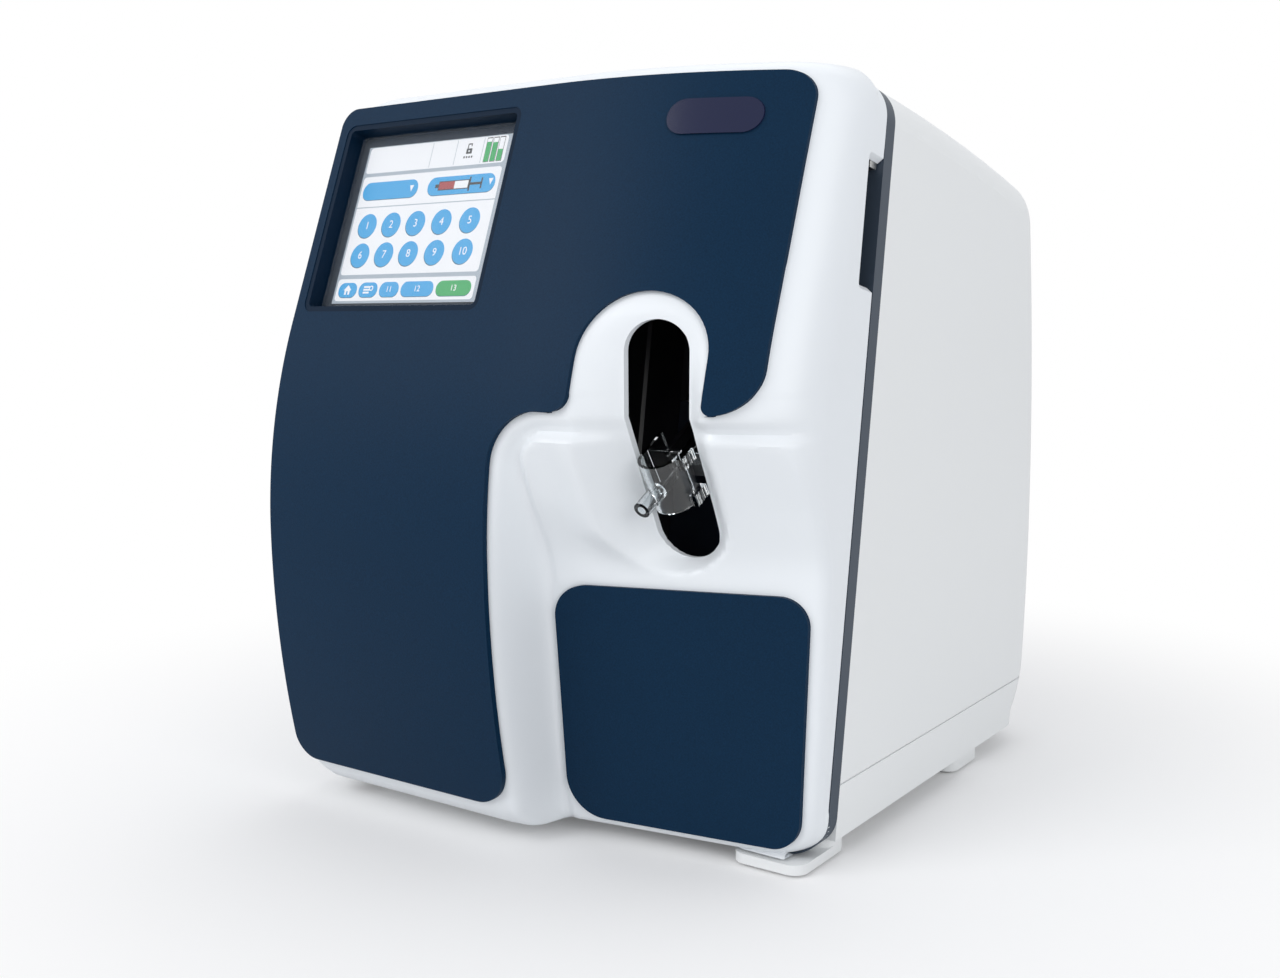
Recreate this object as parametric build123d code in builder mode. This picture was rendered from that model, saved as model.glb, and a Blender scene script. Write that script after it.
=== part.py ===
from build123d import *
import os
from math import atan2, cos, degrees, radians, sin, sqrt, tan

# Bench-top blood gas analyser: a curved front door over a cartridge bay, a swinging
# sampler behind a slot in the door, and the electronics behind a bulkhead.
# Millimetres. Origin on the table under the middle of the body, the front facing -Y.

# ---- overall body ----
WIDTH = 305.0
HEIGHT = 388.0
APEX_Y = -183.0          # foremost point of the door
REAR_Y = 183.0           # rearmost point of the casing
REAR_APEX_Z = 155.0
WALL = 3.0
BASE_BOTTOM = 12.0
SEAM_Z = 39.0            # joint between base pan and casing
SIDE_ROUND = 22.0
REAR_TOP_ROUND = 30.0
CLEAR = 0.3              # gap between pieces of different bodies
HALF = WIDTH / 2

# Side view of the body, as points (y, z): the roof, the back down to its rearmost point, the heel.
ROOF = [(-125.0, HEIGHT + 2.0), (-10.0, HEIGHT - 9.0), (REAR_Y - 16.0, HEIGHT - 41.5)]
HEEL_TOP = (REAR_Y - 6.0, 50.0)
HEEL_FOOT = (REAR_Y - 26.2, BASE_BOTTOM)

# ---- front surface ----
APEX_Z = 152.0
UPPER_R = 330.0          # bulge above the apex
LOWER_R = 600.0          # bulge below the apex
LEAN = 20.0              # straight lean of the upper front, degrees
SWEEP_LONG = 147.5       # the front sweeps back over this width, up to the right side
SWEEP_R = 240.0
FLAT_X = HALF - SWEEP_LONG
LEFT_ROUND = 22.0
RIGHT_ROUND = 32.0
TOP_ROUND = 9.0
BOTTOM_ROUND = 16.0       # of the lower front edge, and of the two lower corners
DOOR_BOTTOM = 8.0
PANEL_T = 2.5            # thickness of the two coloured front panels

# ---- parting plane between door and body, leaning back ----
TILT = 8.8
PARTING_Y = -103.5       # where the plane meets the table
DOOR_GAP = 1.0
SILL_GAP = 1.8           # room for the door's lower edge as it swings
FRAME_T = 9.0
FRAME_BAR = 11.5

# ---- recess in the lower right of the door ----
RECESS_Y = -123.0
RECESS_X = HALF - 67.5   # where the recess floor is at RECESS_Y
RECESS_TURN = 9.0        # the floor sweeps back to the right, degrees
SHOULDER_X = HALF - 138.5
RECESS_TOP = 222.0
RECESS_CORNER = 24.0
KNEE_Z = 150.0           # below here the floor is upright
RECESS_SLOPE = 0.47      # how far the floor comes forward per mm above the knee

# ---- sampler slot and the funnel round it ----
SLOT_X = HALF - 67.5
FUNNEL_X = SLOT_X - 4.0
FUNNEL_R = 30.0
FUNNEL_LOW = 145.0
FUNNEL_HIGH = 278.0
FUNNEL_DEPTH = 11.0
SLOT_R = 15.0
SLOT_LOW = 150.0
SLOT_HIGH = 266.0
SLOT_TURN_Z = 220.0      # above here the funnel floor is upright

# ---- display in the door ----
DISPLAY_SIDE = 12.0      # from the door's left side to the bezel
DISPLAY_DROP = 66.3      # from the top down to the middle of the display
DISPLAY_W = 122.0
DISPLAY_H = 103.0
BEZEL_WALL = 3.0
GLASS_DEPTH = 9.0
GLASS_T = 2.0
BEZEL_LIP = 5.0
BEZEL_CORNER = 6.0
BEZEL_BACK = 2.0         # rear wall of the bezel, behind the glass
LCD_T = 7.0
BOARD_T = 1.6
DISPLAY_X = -HALF + DISPLAY_SIDE + DISPLAY_W / 2 + BEZEL_WALL
DISPLAY_Z = HEIGHT - DISPLAY_DROP

HINGE_RELIEF = 2.0       # bevel on the door's rear left edge

SIN_T = sin(radians(TILT))
COS_T = cos(radians(TILT))
REACH = 500.0            # longer than anything here

PARTING = Plane(origin=(0, PARTING_Y, 0), x_dir=(1, 0, 0), z_dir=(0, -COS_T, SIN_T))
os.makedirs("parts", exist_ok=True)


def level(up, ahead=0.0):
    """Plane square to the parting plane, a distance up it and ahead of it."""
    foot = PARTING.from_local_coords(Vector(0, up, ahead))
    return Plane(origin=foot, x_dir=(1, 0, 0), z_dir=(0, SIN_T, COS_T))


def write(part, name):
    part.label = name
    export_step(part, f"parts/{name}.step")


# ================= body shapes shared by several pieces =================

def front_y(z):
    """Depth of the left, unswept part of the front at a height."""
    lean_from = APEX_Z + UPPER_R * sin(radians(LEAN))
    if z < APEX_Z:
        return APEX_Y + LOWER_R - sqrt(LOWER_R**2 - (z - APEX_Z)**2)
    if z < lean_from:
        return APEX_Y + UPPER_R - sqrt(UPPER_R**2 - (z - APEX_Z)**2)
    return APEX_Y + UPPER_R * (1 - cos(radians(LEAN))) + (z - lean_from) * tan(radians(LEAN))


def round_in(z, edge, radius):
    """Inward shift of a quarter round that ends at a level edge."""
    into = max(0.0, radius - abs(edge - z))
    return radius - sqrt(radius**2 - into**2)


def door_plan(z, front, side):
    """Outline of the door at a height, moved in by front and side."""
    upper = z > APEX_Z
    top, bottom = HEIGHT - side, DOOR_BOTTOM + side
    half = HALF - side - (round_in(z, top, SIDE_ROUND) if upper else round_in(z, bottom, BOTTOM_ROUND))
    face = front_y(z) + front
    face += round_in(z, top, TOP_ROUND) if upper else round_in(z, bottom, BOTTOM_ROUND)
    left_r, right_r, sweep_r = LEFT_ROUND - side, RIGHT_ROUND - side, SWEEP_R - front
    sweep_y = face + sweep_r
    right_x = half - right_r
    right_y = sweep_y - sqrt((sweep_r - right_r)**2 - (right_x - FLAT_X)**2)
    swept = degrees(atan2(right_x - FLAT_X, sweep_y - right_y))
    with BuildLine() as outline:
        Line((-half, 0), (-half, face + left_r))
        CenterArc((-half + left_r, face + left_r), left_r, 180, 90)
        Line((-half + left_r, face), (FLAT_X, face))
        CenterArc((FLAT_X, sweep_y), sweep_r, 270, swept)
        CenterArc((right_x, right_y), right_r, 270 + swept, 90 - swept)
        Polyline((half, right_y), (half, 0), (-half, 0))
    return outline.edges()


def door_body(front, side):
    """Solid door shape back to the middle of the machine."""
    top, bottom = HEIGHT - side, DOOR_BOTTOM + side
    low = [bottom + BOTTOM_ROUND * (1 - cos(radians(a))) for a in (0, 18, 36, 54, 72, 90)]
    middle = [80.0, 118.0, APEX_Z, 190.0, 228.0, 265.0, HEIGHT - 68.0]
    high = [top - SIDE_ROUND * (1 - sin(radians(a))) for a in (0, 20, 36, 50, 64, 77, 90)]
    with BuildPart() as body:
        for z in low + middle + high:
            with BuildSketch(Plane.XY.offset(z)):
                make_face(door_plan(z, front, side))
        loft(ruled=True)
        with BuildSketch(Plane.YZ):
            with BuildLine():
                roof = ThreePointArc(*[(y, z - side) for y, z in ROOF])
                Polyline(roof @ 1, (ROOF[2][0], 0), (-REACH, 0), (-REACH, ROOF[0][1] - side), roof @ 0)
            make_face()
        extrude(amount=HALF, both=True, mode=Mode.INTERSECT)
    return body.part


def recess_plane(x):
    """Side-view plane of the recess at x: local x points back, local y up."""
    turn = radians(RECESS_TURN)
    floor = RECESS_Y + (x - RECESS_X) * tan(turn)
    return Plane(origin=(x, floor, 0), x_dir=(-sin(turn), cos(turn), 0), z_dir=(cos(turn), sin(turn), 0))


def recess_tool(grow):
    """What is cut from the lower right of the door, grown by a wall for the cavity."""
    rise = RECESS_TOP - KNEE_Z
    with BuildPart() as tool:
        with BuildSketch(recess_plane(SHOULDER_X - grow)):
            with BuildLine():
                Polyline((grow, -20), (grow, KNEE_Z), (grow - rise * RECESS_SLOPE, RECESS_TOP + grow),
                         (-120, RECESS_TOP + grow), (-120, -20), close=True)
            make_face()
        extrude(amount=WIDTH)
        corner = tool.edges().filter_by(lambda e: e.center().Z > RECESS_TOP - 1).sort_by(Axis.X)[0]
        fillet(corner, RECESS_CORNER)
    return tool.part


def funnel_tool(grow):
    """Pocket round the sampler slot."""
    turn_in = FUNNEL_DEPTH + grow - (SLOT_TURN_Z - KNEE_Z) * RECESS_SLOPE
    with BuildPart() as tool:
        with BuildSketch(Plane.XZ.offset(200)):
            with Locations((FUNNEL_X, (FUNNEL_LOW + FUNNEL_HIGH) / 2)):
                SlotOverall(FUNNEL_HIGH - FUNNEL_LOW + 2 * grow, 2 * (FUNNEL_R + grow), rotation=90)
        extrude(amount=-120)
        with BuildSketch(recess_plane(0)):
            with BuildLine():
                Polyline((FUNNEL_DEPTH + grow, 0), (FUNNEL_DEPTH + grow, KNEE_Z), (turn_in, SLOT_TURN_Z),
                         (turn_in, HEIGHT), (-150, HEIGHT), (-150, 0), close=True)
            make_face()
        extrude(amount=WIDTH, mode=Mode.INTERSECT)
    return tool.part


# Outer shape of the casing, base and frame together.
with BuildPart() as envelope:
    with BuildSketch(Plane.YZ) as body_profile:
        with BuildLine():
            roof = ThreePointArc(*ROOF)
            back = TangentArc((REAR_Y, REAR_APEX_Z), roof @ 1, tangent=(0, 1))
            lower = TangentArc(back @ 0, HEEL_TOP, tangent=(0, -1))
            heel = TangentArc(lower @ 1, HEEL_FOOT, tangent=lower % 1)
            Polyline(heel @ 1, (ROOF[0][0], BASE_BOTTOM), roof @ 0)
        make_face()
        fillet(body_profile.vertices().sort_by_distance((*ROOF[2], 0))[0], REAR_TOP_ROUND)
    extrude(amount=HALF, both=True)
    rims = envelope.edges().filter_by(lambda e: abs(abs(e.center().X) - HALF) < 0.1)
    rims = rims.filter_by(lambda e: e.center().Z > BASE_BOTTOM + 5 and e.center().Y > -120)
    fillet(rims, SIDE_ROUND)

with BuildPart() as cavity:
    with BuildSketch(Plane.YZ) as cavity_profile:
        add(body_profile.sketch_local)
        offset(amount=-WALL, kind=Kind.INTERSECTION)
    extrude(amount=HALF - WALL, both=True)
    rims = cavity.edges().filter_by(lambda e: abs(abs(e.center().X) - HALF + WALL) < 0.1)
    rims = rims.filter_by(lambda e: e.center().Z > BASE_BOTTOM + 8 and e.center().Y > -115)
    fillet(rims, SIDE_ROUND - WALL)

# ================= door =================

SHELL_OUTER = door_body(PANEL_T, 0)
PANEL_OUTER = door_body(0, 0)

# The display leans with the front: its plane lies on the surface, z out of the door.
DISPLAY = Plane(origin=(DISPLAY_X, front_y(DISPLAY_Z), DISPLAY_Z), x_dir=(1, 0, 0),
                z_dir=(0, -cos(radians(LEAN)), sin(radians(LEAN))))
BEZEL_W = DISPLAY_W + 2 * BEZEL_WALL
BEZEL_H = DISPLAY_H + 2 * BEZEL_WALL

NOTCH_LOW = 281.0        # finger notch in the right rear edge
NOTCH_HIGH = 341.0
NOTCH_DEEP = 12.0
HEEL_R = 16.0            # rounding of the door's lower rear edge

heel_y = PARTING.from_local_coords(Vector(0, (DOOR_BOTTOM + HEEL_R - HEEL_R * SIN_T) / COS_T, HEEL_R)).Y

with BuildPart() as door_blank:
    add(SHELL_OUTER)
    # Only what lies ahead of the parting plane belongs to the door.
    with BuildSketch(PARTING):
        Rectangle(REACH, 2 * REACH)
    extrude(amount=REACH, mode=Mode.INTERSECT)
    # The lower rear edge curls up to the parting plane over the sill.
    with BuildSketch(Plane.YZ):
        with Locations((heel_y, DOOR_BOTTOM - 1)):
            Rectangle(2 * HEEL_R, HEEL_R + 1, align=(Align.MIN, Align.MIN))
        with Locations((heel_y, DOOR_BOTTOM + HEEL_R)):
            Circle(HEEL_R, mode=Mode.SUBTRACT)
    extrude(amount=HALF + 1, both=True, mode=Mode.SUBTRACT)

with BuildPart() as door_cavity:
    add(door_body(PANEL_T + WALL, WALL))
    add(recess_tool(WALL), mode=Mode.SUBTRACT)
    add(funnel_tool(WALL), mode=Mode.SUBTRACT)
    # A solid rail stays behind the curled lower edge.
    with BuildSketch(Plane.XY):
        with Locations((0, PARTING_Y - HEEL_R)):
            Rectangle(WIDTH, WIDTH, align=(Align.CENTER, Align.MIN))
    extrude(amount=DOOR_BOTTOM + HEEL_R + WALL, mode=Mode.SUBTRACT)

with BuildPart() as door_shell:
    add(door_blank.part)
    add(recess_tool(0), mode=Mode.SUBTRACT)
    add(funnel_tool(0), mode=Mode.SUBTRACT)
    add(door_cavity.part, mode=Mode.SUBTRACT)
    # Sampler slot.
    with BuildSketch(Plane.XZ.offset(200)):
        with Locations((SLOT_X, (SLOT_LOW + SLOT_HIGH) / 2)):
            SlotOverall(SLOT_HIGH - SLOT_LOW, 2 * SLOT_R, rotation=90)
    extrude(amount=-110, mode=Mode.SUBTRACT)
    # Display opening.
    with BuildSketch(DISPLAY.offset(20)):
        RectangleRounded(BEZEL_W, BEZEL_H, BEZEL_CORNER)
    extrude(amount=-50, mode=Mode.SUBTRACT)
    # Finger notch in the right rear edge.
    with BuildSketch(PARTING):
        with Locations((HALF, (NOTCH_LOW + NOTCH_HIGH) / 2 / COS_T)):
            Rectangle(4 * WALL, (NOTCH_HIGH - NOTCH_LOW) / COS_T)
    extrude(amount=NOTCH_DEEP, mode=Mode.SUBTRACT)
    # Relief along the hinge side, which swings close past the frame.
    with BuildSketch(level(-HINGE_RELIEF)):
        with BuildLine():
            Polyline((-HALF - 2, -2 - HINGE_RELIEF), (-HALF - 2, 2), (-HALF + 2 + HINGE_RELIEF, 2),
                     close=True)
        make_face()
    extrude(amount=REACH, mode=Mode.SUBTRACT)
write(door_shell.part, "door_shell")

# Raised panel on the upper and left front: corners of its outline with their radii.
OVERLAY_TOP = HEIGHT - 5.5
OVERLAY_LOW = 23.0
OVERLAY_RIGHT = HALF - 17.5
OVERLAY_LEFT = -HALF + 6.0
OVERLAY_SHOULDER = SHOULDER_X - 5.0
TONGUE_LOW = RECESS_TOP  # the panel's lower edges left and right of the funnel
RIM = 1.0                # white rim left between funnel and panel
ARCH_L = FUNNEL_X - FUNNEL_R - RIM
ARCH_R = FUNNEL_X + FUNNEL_R + RIM

upper_corners = {
    (OVERLAY_LEFT, OVERLAY_TOP): 10, (OVERLAY_RIGHT, OVERLAY_TOP): 14,
    (OVERLAY_RIGHT, TONGUE_LOW): 21, (ARCH_R, TONGUE_LOW): 5,
    (ARCH_R, FUNNEL_HIGH + RIM): FUNNEL_R + 0.9 * RIM,
    (ARCH_L, FUNNEL_HIGH + RIM): FUNNEL_R + 0.9 * RIM,
    (ARCH_L, TONGUE_LOW + 1): 8, (OVERLAY_SHOULDER, TONGUE_LOW + 1): 26,
    (OVERLAY_SHOULDER, OVERLAY_LOW): 21, (OVERLAY_LEFT, OVERLAY_LOW): 14,
}
with BuildPart() as upper_panel:
    with BuildSketch(Plane.XZ.offset(250)):
        with BuildLine():
            FilletPolyline(*upper_corners, radius=list(upper_corners.values()), close=True)
        make_face()
    extrude(amount=-250)
    add(PANEL_OUTER, mode=Mode.INTERSECT)
    add(SHELL_OUTER, mode=Mode.SUBTRACT)
    with BuildSketch(DISPLAY.offset(20)):
        RectangleRounded(BEZEL_W, BEZEL_H, BEZEL_CORNER)
    extrude(amount=-50, mode=Mode.SUBTRACT)
write(upper_panel.part, "upper_panel")

# Raised panel on the floor of the recess.
LOWER_LEFT = SHOULDER_X + 6.0
LOWER_RIGHT = HALF - 6.5
LOWER_TOP = 135.0
LOWER_LOW = 13.0
LOWER_BEVEL = 1.2
turn_cos = cos(radians(RECESS_TURN))
floor_plane = recess_plane(RECESS_X)
RECESS_FLOOR = Plane(origin=floor_plane.origin, x_dir=floor_plane.z_dir, z_dir=-floor_plane.x_dir)
lower_corners = {
    ((LOWER_LEFT - RECESS_X) / turn_cos, LOWER_TOP): 17,
    ((LOWER_RIGHT - RECESS_X) / turn_cos, LOWER_TOP): 15,
    ((LOWER_RIGHT - RECESS_X) / turn_cos, LOWER_LOW): 14,
    ((LOWER_LEFT - RECESS_X) / turn_cos, LOWER_LOW): 21,
}
with BuildPart() as lower_panel:
    with BuildSketch(RECESS_FLOOR):
        with BuildLine():
            FilletPolyline(*lower_corners, radius=list(lower_corners.values()), close=True)
        make_face()
    extrude(amount=PANEL_T)
    chamfer(lower_panel.faces().sort_by(Axis.Y)[0].edges(), LOWER_BEVEL)
write(lower_panel.part, "lower_panel")

# Oval badge, bare, curved like the panel under it.
BADGE_X, BADGE_Z = HALF - 58.0, HEIGHT - 27.0
BADGE_W, BADGE_H, BADGE_T = 43.0, 17.0, 1.5
with BuildPart() as name_badge:
    with BuildSketch(Plane.XZ.offset(250)):
        with Locations((BADGE_X, BADGE_Z)):
            SlotOverall(BADGE_W, BADGE_H)
    extrude(amount=-250)
    add(door_body(-BADGE_T, 0), mode=Mode.INTERSECT)
    add(PANEL_OUTER, mode=Mode.SUBTRACT)
write(name_badge.part, "name_badge")

# ---- display, built up behind the surface ----
BEZEL_SUNK = 0.4         # the bezel's rim lies this far below the panel's face
LCD_BACK = GLASS_DEPTH + GLASS_T + BEZEL_BACK
with BuildPart() as display_bezel:
    with BuildSketch(DISPLAY.offset(-BEZEL_SUNK)):
        RectangleRounded(BEZEL_W, BEZEL_H, BEZEL_CORNER)
    extrude(amount=BEZEL_SUNK - LCD_BACK)
    with BuildSketch(DISPLAY):
        RectangleRounded(DISPLAY_W, DISPLAY_H, BEZEL_CORNER - BEZEL_WALL)
    extrude(amount=-(GLASS_DEPTH + GLASS_T), mode=Mode.SUBTRACT)
    with BuildSketch(DISPLAY):
        Rectangle(DISPLAY_W - 2 * BEZEL_LIP, DISPLAY_H - 2 * BEZEL_LIP)
    extrude(amount=-30, mode=Mode.SUBTRACT)
write(display_bezel.part, "display_bezel")

with BuildPart() as display_glass:
    with BuildSketch(DISPLAY.offset(-GLASS_DEPTH)):
        RectangleRounded(DISPLAY_W, DISPLAY_H, BEZEL_CORNER - BEZEL_WALL)
    extrude(amount=-GLASS_T)
write(display_glass.part, "display_glass")

with BuildPart() as lcd_module:
    with BuildSketch(DISPLAY.offset(-LCD_BACK)):
        Rectangle(DISPLAY_W - 4, DISPLAY_H - 6)
    extrude(amount=-LCD_T)
    with BuildSketch(DISPLAY.offset(-LCD_BACK)):
        Rectangle(DISPLAY_W - 2 * BEZEL_LIP - 1, DISPLAY_H - 2 * BEZEL_LIP - 1)
    extrude(amount=BEZEL_BACK)
write(lcd_module.part, "lcd_module")

with BuildPart() as display_board:
    with BuildSketch(DISPLAY.offset(-LCD_BACK - LCD_T)):
        Rectangle(DISPLAY_W - 14, DISPLAY_H - 20)
    extrude(amount=-BOARD_T)
    with BuildSketch(DISPLAY.offset(-LCD_BACK - LCD_T - BOARD_T)):
        with Locations((-20, 10), (22, -18)):
            Rectangle(16, 16)
        with Locations((20, 26)):
            Rectangle(36, 6)
    extrude(amount=-3)
write(display_board.part, "display_board")

# ================= frame, fascia, casing, base =================

CASING_AHEAD = -DOOR_GAP - FRAME_T      # the casing starts this far ahead of the plane
OPEN_LOW, OPEN_HIGH = 28.0, HEIGHT - 18.0
OPEN_CORNER = 14.0
SILL_Y = -112.0
SILL_Z = 6.8
LATCH_LEVELS = (46.0, 352.0)
MAGNET_R = 2.4
MAGNET_T = FRAME_T - 2
MAGNET_X = HALF - FRAME_BAR / 2 - 3
STRIKE_H = 20.0

with BuildPart() as sill:
    with BuildSketch(Plane.YZ):
        with Locations((SILL_Y, SILL_Z)):
            Rectangle(16, 13, align=(Align.MIN, Align.MIN))
        with Locations((heel_y, DOOR_BOTTOM + HEEL_R)):
            Circle(HEEL_R + SILL_GAP, mode=Mode.SUBTRACT)
    extrude(amount=HALF, both=True)

with BuildPart() as front_frame:
    add(envelope.part)
    with BuildSketch(PARTING.offset(-DOOR_GAP)):
        Rectangle(REACH, 2 * REACH)
    extrude(amount=-FRAME_T, mode=Mode.INTERSECT)
    with BuildSketch(PARTING):
        with Locations((0, (OPEN_LOW + OPEN_HIGH) / 2)):
            RectangleRounded(WIDTH - 2 * FRAME_BAR, OPEN_HIGH - OPEN_LOW, OPEN_CORNER)
    extrude(amount=-2 * FRAME_T, mode=Mode.SUBTRACT)
    with BuildSketch(PARTING.offset(-DOOR_GAP)):
        with Locations(*[(MAGNET_X, up) for up in LATCH_LEVELS]):
            Circle(MAGNET_R)
    extrude(amount=-MAGNET_T, mode=Mode.SUBTRACT)
    add(sill.part)
    # The lower corners are rounded with the door's.
    corner_x, corner_z = HALF - BOTTOM_ROUND, DOOR_BOTTOM + BOTTOM_ROUND
    with BuildSketch(Plane.XZ.offset(-PARTING_Y)):
        with Locations((corner_x, corner_z), (-corner_x, corner_z)):
            Rectangle(2 * BOTTOM_ROUND, 2 * corner_z)
            Circle(BOTTOM_ROUND, mode=Mode.SUBTRACT)
        with Locations((0, corner_z)):
            Rectangle(WIDTH + 2, HEIGHT, align=(Align.CENTER, Align.MIN), mode=Mode.SUBTRACT)
        with Locations((0, 0)):
            Rectangle(2 * corner_x, HEIGHT, mode=Mode.SUBTRACT)
    extrude(amount=60, both=True, mode=Mode.SUBTRACT)
write(front_frame.part, "front_frame")

# Dark inner wall behind the frame, with a bay for each working group.
FASCIA_T = 3.0
FASCIA_FRONT = CASING_AHEAD
FASCIA_BACK = FASCIA_FRONT - FASCIA_T
FASCIA_LAP = 4.5         # the fascia reaches this far behind the frame at each side
FASCIA_CORNER = 20.0
BAY_X, BAY_UP = -37.0, 226.0
BAY_W, BAY_H = 150.0, 212.0
BAY_DEEP = 97.0
BAY_WALL = 2.0
PUMP_X, PUMP_UP = 60.0, 75.0
PUMP_SHAFT_R = 3.0
RUN = 0.05               # radial running clearance of a shaft
PIVOT_UP, PIVOT_AHEAD = 235.0, 5.0

with BuildPart() as fascia:
    with BuildSketch(PARTING.offset(FASCIA_FRONT)):
        with Locations((0, (OPEN_LOW + OPEN_HIGH) / 2)):
            RectangleRounded(WIDTH - 2 * (FRAME_BAR - FASCIA_LAP), OPEN_HIGH - OPEN_LOW + 7, FASCIA_CORNER)
        with Locations((BAY_X, BAY_UP)):
            Rectangle(BAY_W, BAY_H, mode=Mode.SUBTRACT)
        with Locations((SLOT_X, PIVOT_UP - 30)):
            RectangleRounded(44, 26, 4, mode=Mode.SUBTRACT)
        with Locations((PUMP_X, PUMP_UP)):
            Circle(PUMP_SHAFT_R + 2, mode=Mode.SUBTRACT)
    extrude(amount=-FASCIA_T)
write(fascia.part, "fascia")

BACK_Y = REAR_Y - 18.0   # face of the rear ring that the back panel lies against
BACK_T = 1.5
REAR_OPEN_W = WIDTH - 75.0
REAR_OPEN_LOW, REAR_OPEN_HIGH = 60.0, HEIGHT - 98.0
REAR_OPEN_H = REAR_OPEN_HIGH - REAR_OPEN_LOW
REAR_OPEN_Z = (REAR_OPEN_LOW + REAR_OPEN_HIGH) / 2
RING_EDGE = 7.0          # width of the ring round the rear opening
PANEL_EDGE = 5.0         # how far the back panel laps onto the ring

with BuildPart() as rear_ring:
    # Flange inside the rear wall that the back panel lies against.
    with BuildSketch(Plane.XZ.offset(-BACK_Y)):
        with Locations((0, REAR_OPEN_Z)):
            Rectangle(REAR_OPEN_W + 2 * RING_EDGE, REAR_OPEN_H + 2 * RING_EDGE)
            Rectangle(REAR_OPEN_W, REAR_OPEN_H, mode=Mode.SUBTRACT)
    extrude(amount=-20)
    add(envelope.part, mode=Mode.INTERSECT)

SEAM_GAP = 1.0           # height and depth of the shadow line between casing and base

with BuildPart() as rear_casing:
    add(envelope.part)
    add(cavity.part, mode=Mode.SUBTRACT)
    add(rear_ring.part)
    with BuildSketch(Plane.XZ.offset(-BACK_Y)):
        with Locations((0, REAR_OPEN_Z)):
            Rectangle(REAR_OPEN_W, REAR_OPEN_H)
    extrude(amount=30, both=True, mode=Mode.SUBTRACT)
    with BuildSketch(PARTING.offset(CASING_AHEAD)):
        Rectangle(REACH, 2 * REACH)
    extrude(amount=-REACH, mode=Mode.INTERSECT)
    with BuildSketch(Plane.XY.offset(SEAM_Z)):
        Rectangle(REACH, REACH)
    extrude(amount=HEIGHT, mode=Mode.INTERSECT)
    with BuildSketch(Plane.XY.offset(SEAM_Z)):
        Rectangle(REACH, REACH)
        with Locations((0, HEEL_TOP[0] - 2.3 - SEAM_GAP)):
            RectangleRounded(WIDTH - 2 * SEAM_GAP, 2 * REAR_Y, SIDE_ROUND - SEAM_GAP,
                             align=(Align.CENTER, Align.MAX), mode=Mode.SUBTRACT)
    extrude(amount=SEAM_GAP, mode=Mode.SUBTRACT)
write(rear_casing.part, "rear_casing")

SCREW_X = HALF - 32.5
SCREW_SPOTS = [(x, y) for x in (-SCREW_X, SCREW_X) for y in (-45, REAR_Y - 63)]
SCREW_R = 2.0
FOOT_X = HALF - 24.5
FOOT_W, FOOT_L = 40.0, 40.0
FOOT_CORNER = 8.0
FOOT_UNDER = 1.5         # thickness of the rubber pad under each foot
FRONT_FOOT_Y = {1: -118.0, -1: -108.0}
REAR_FOOT_Y = REAR_Y - 121.0
TONGUE_TOP = 6.5
TONGUE_END = -91.0       # the front feet are low ahead of here
foot_corners = [(side * FOOT_X, FRONT_FOOT_Y[side], FOOT_L + 8) for side in (1, -1)]
foot_corners += [(side * FOOT_X, REAR_FOOT_Y, FOOT_L) for side in (1, -1)]

with BuildPart() as base_pan:
    add(envelope.part)
    add(cavity.part, mode=Mode.SUBTRACT)
    with BuildSketch(PARTING.offset(CASING_AHEAD)):
        Rectangle(REACH, 2 * REACH)
    extrude(amount=-REACH, mode=Mode.INTERSECT)
    with BuildSketch(Plane.XY.offset(SEAM_Z)):
        Rectangle(REACH, REACH)
    extrude(amount=-SEAM_Z, mode=Mode.INTERSECT)
    # Feet: the front pair reaches forward as low tongues under the sill.
    for x, y, length in foot_corners:
        with BuildSketch(Plane.XY.offset(FOOT_UNDER)):
            with Locations((x, y)):
                RectangleRounded(FOOT_W, length, FOOT_CORNER, align=(Align.CENTER, Align.MIN))
        extrude(amount=TONGUE_TOP - FOOT_UNDER)
        with BuildSketch(Plane.XY.offset(TONGUE_TOP)):
            with Locations((x, max(y, TONGUE_END))):
                RectangleRounded(FOOT_W, y + length - max(y, TONGUE_END), FOOT_CORNER,
                                 align=(Align.CENTER, Align.MIN))
        extrude(amount=BASE_BOTTOM + 1 - TONGUE_TOP)
    with BuildSketch(Plane.XY.offset(BASE_BOTTOM)):
        with Locations(*SCREW_SPOTS):
            Circle(SCREW_R)
    extrude(amount=WALL, mode=Mode.SUBTRACT)
write(base_pan.part, "base_pan")

with BuildPart() as rubber_feet:
    for x, y, length in foot_corners:
        with BuildSketch(Plane.XY):
            with Locations((x, y + length / 2)):
                RectangleRounded(FOOT_W - 6, length - 6, 6)
        extrude(amount=FOOT_UNDER)
write(rubber_feet.part, "rubber_feet")

# ================= hinge and latch =================

HINGE_X = -HALF + 8.0
HINGE_AHEAD = 22.0
PIN_R = 2.0
HINGE_R = 4.5            # eye round the pin
HINGE_LEVELS = (62.0, 318.0)
LEAF_T = 3.0
ARM_X = -HALF + 35.0     # the fixed arm stands here, clear of the opening door's wall
ARM_W = 4.0

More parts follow.
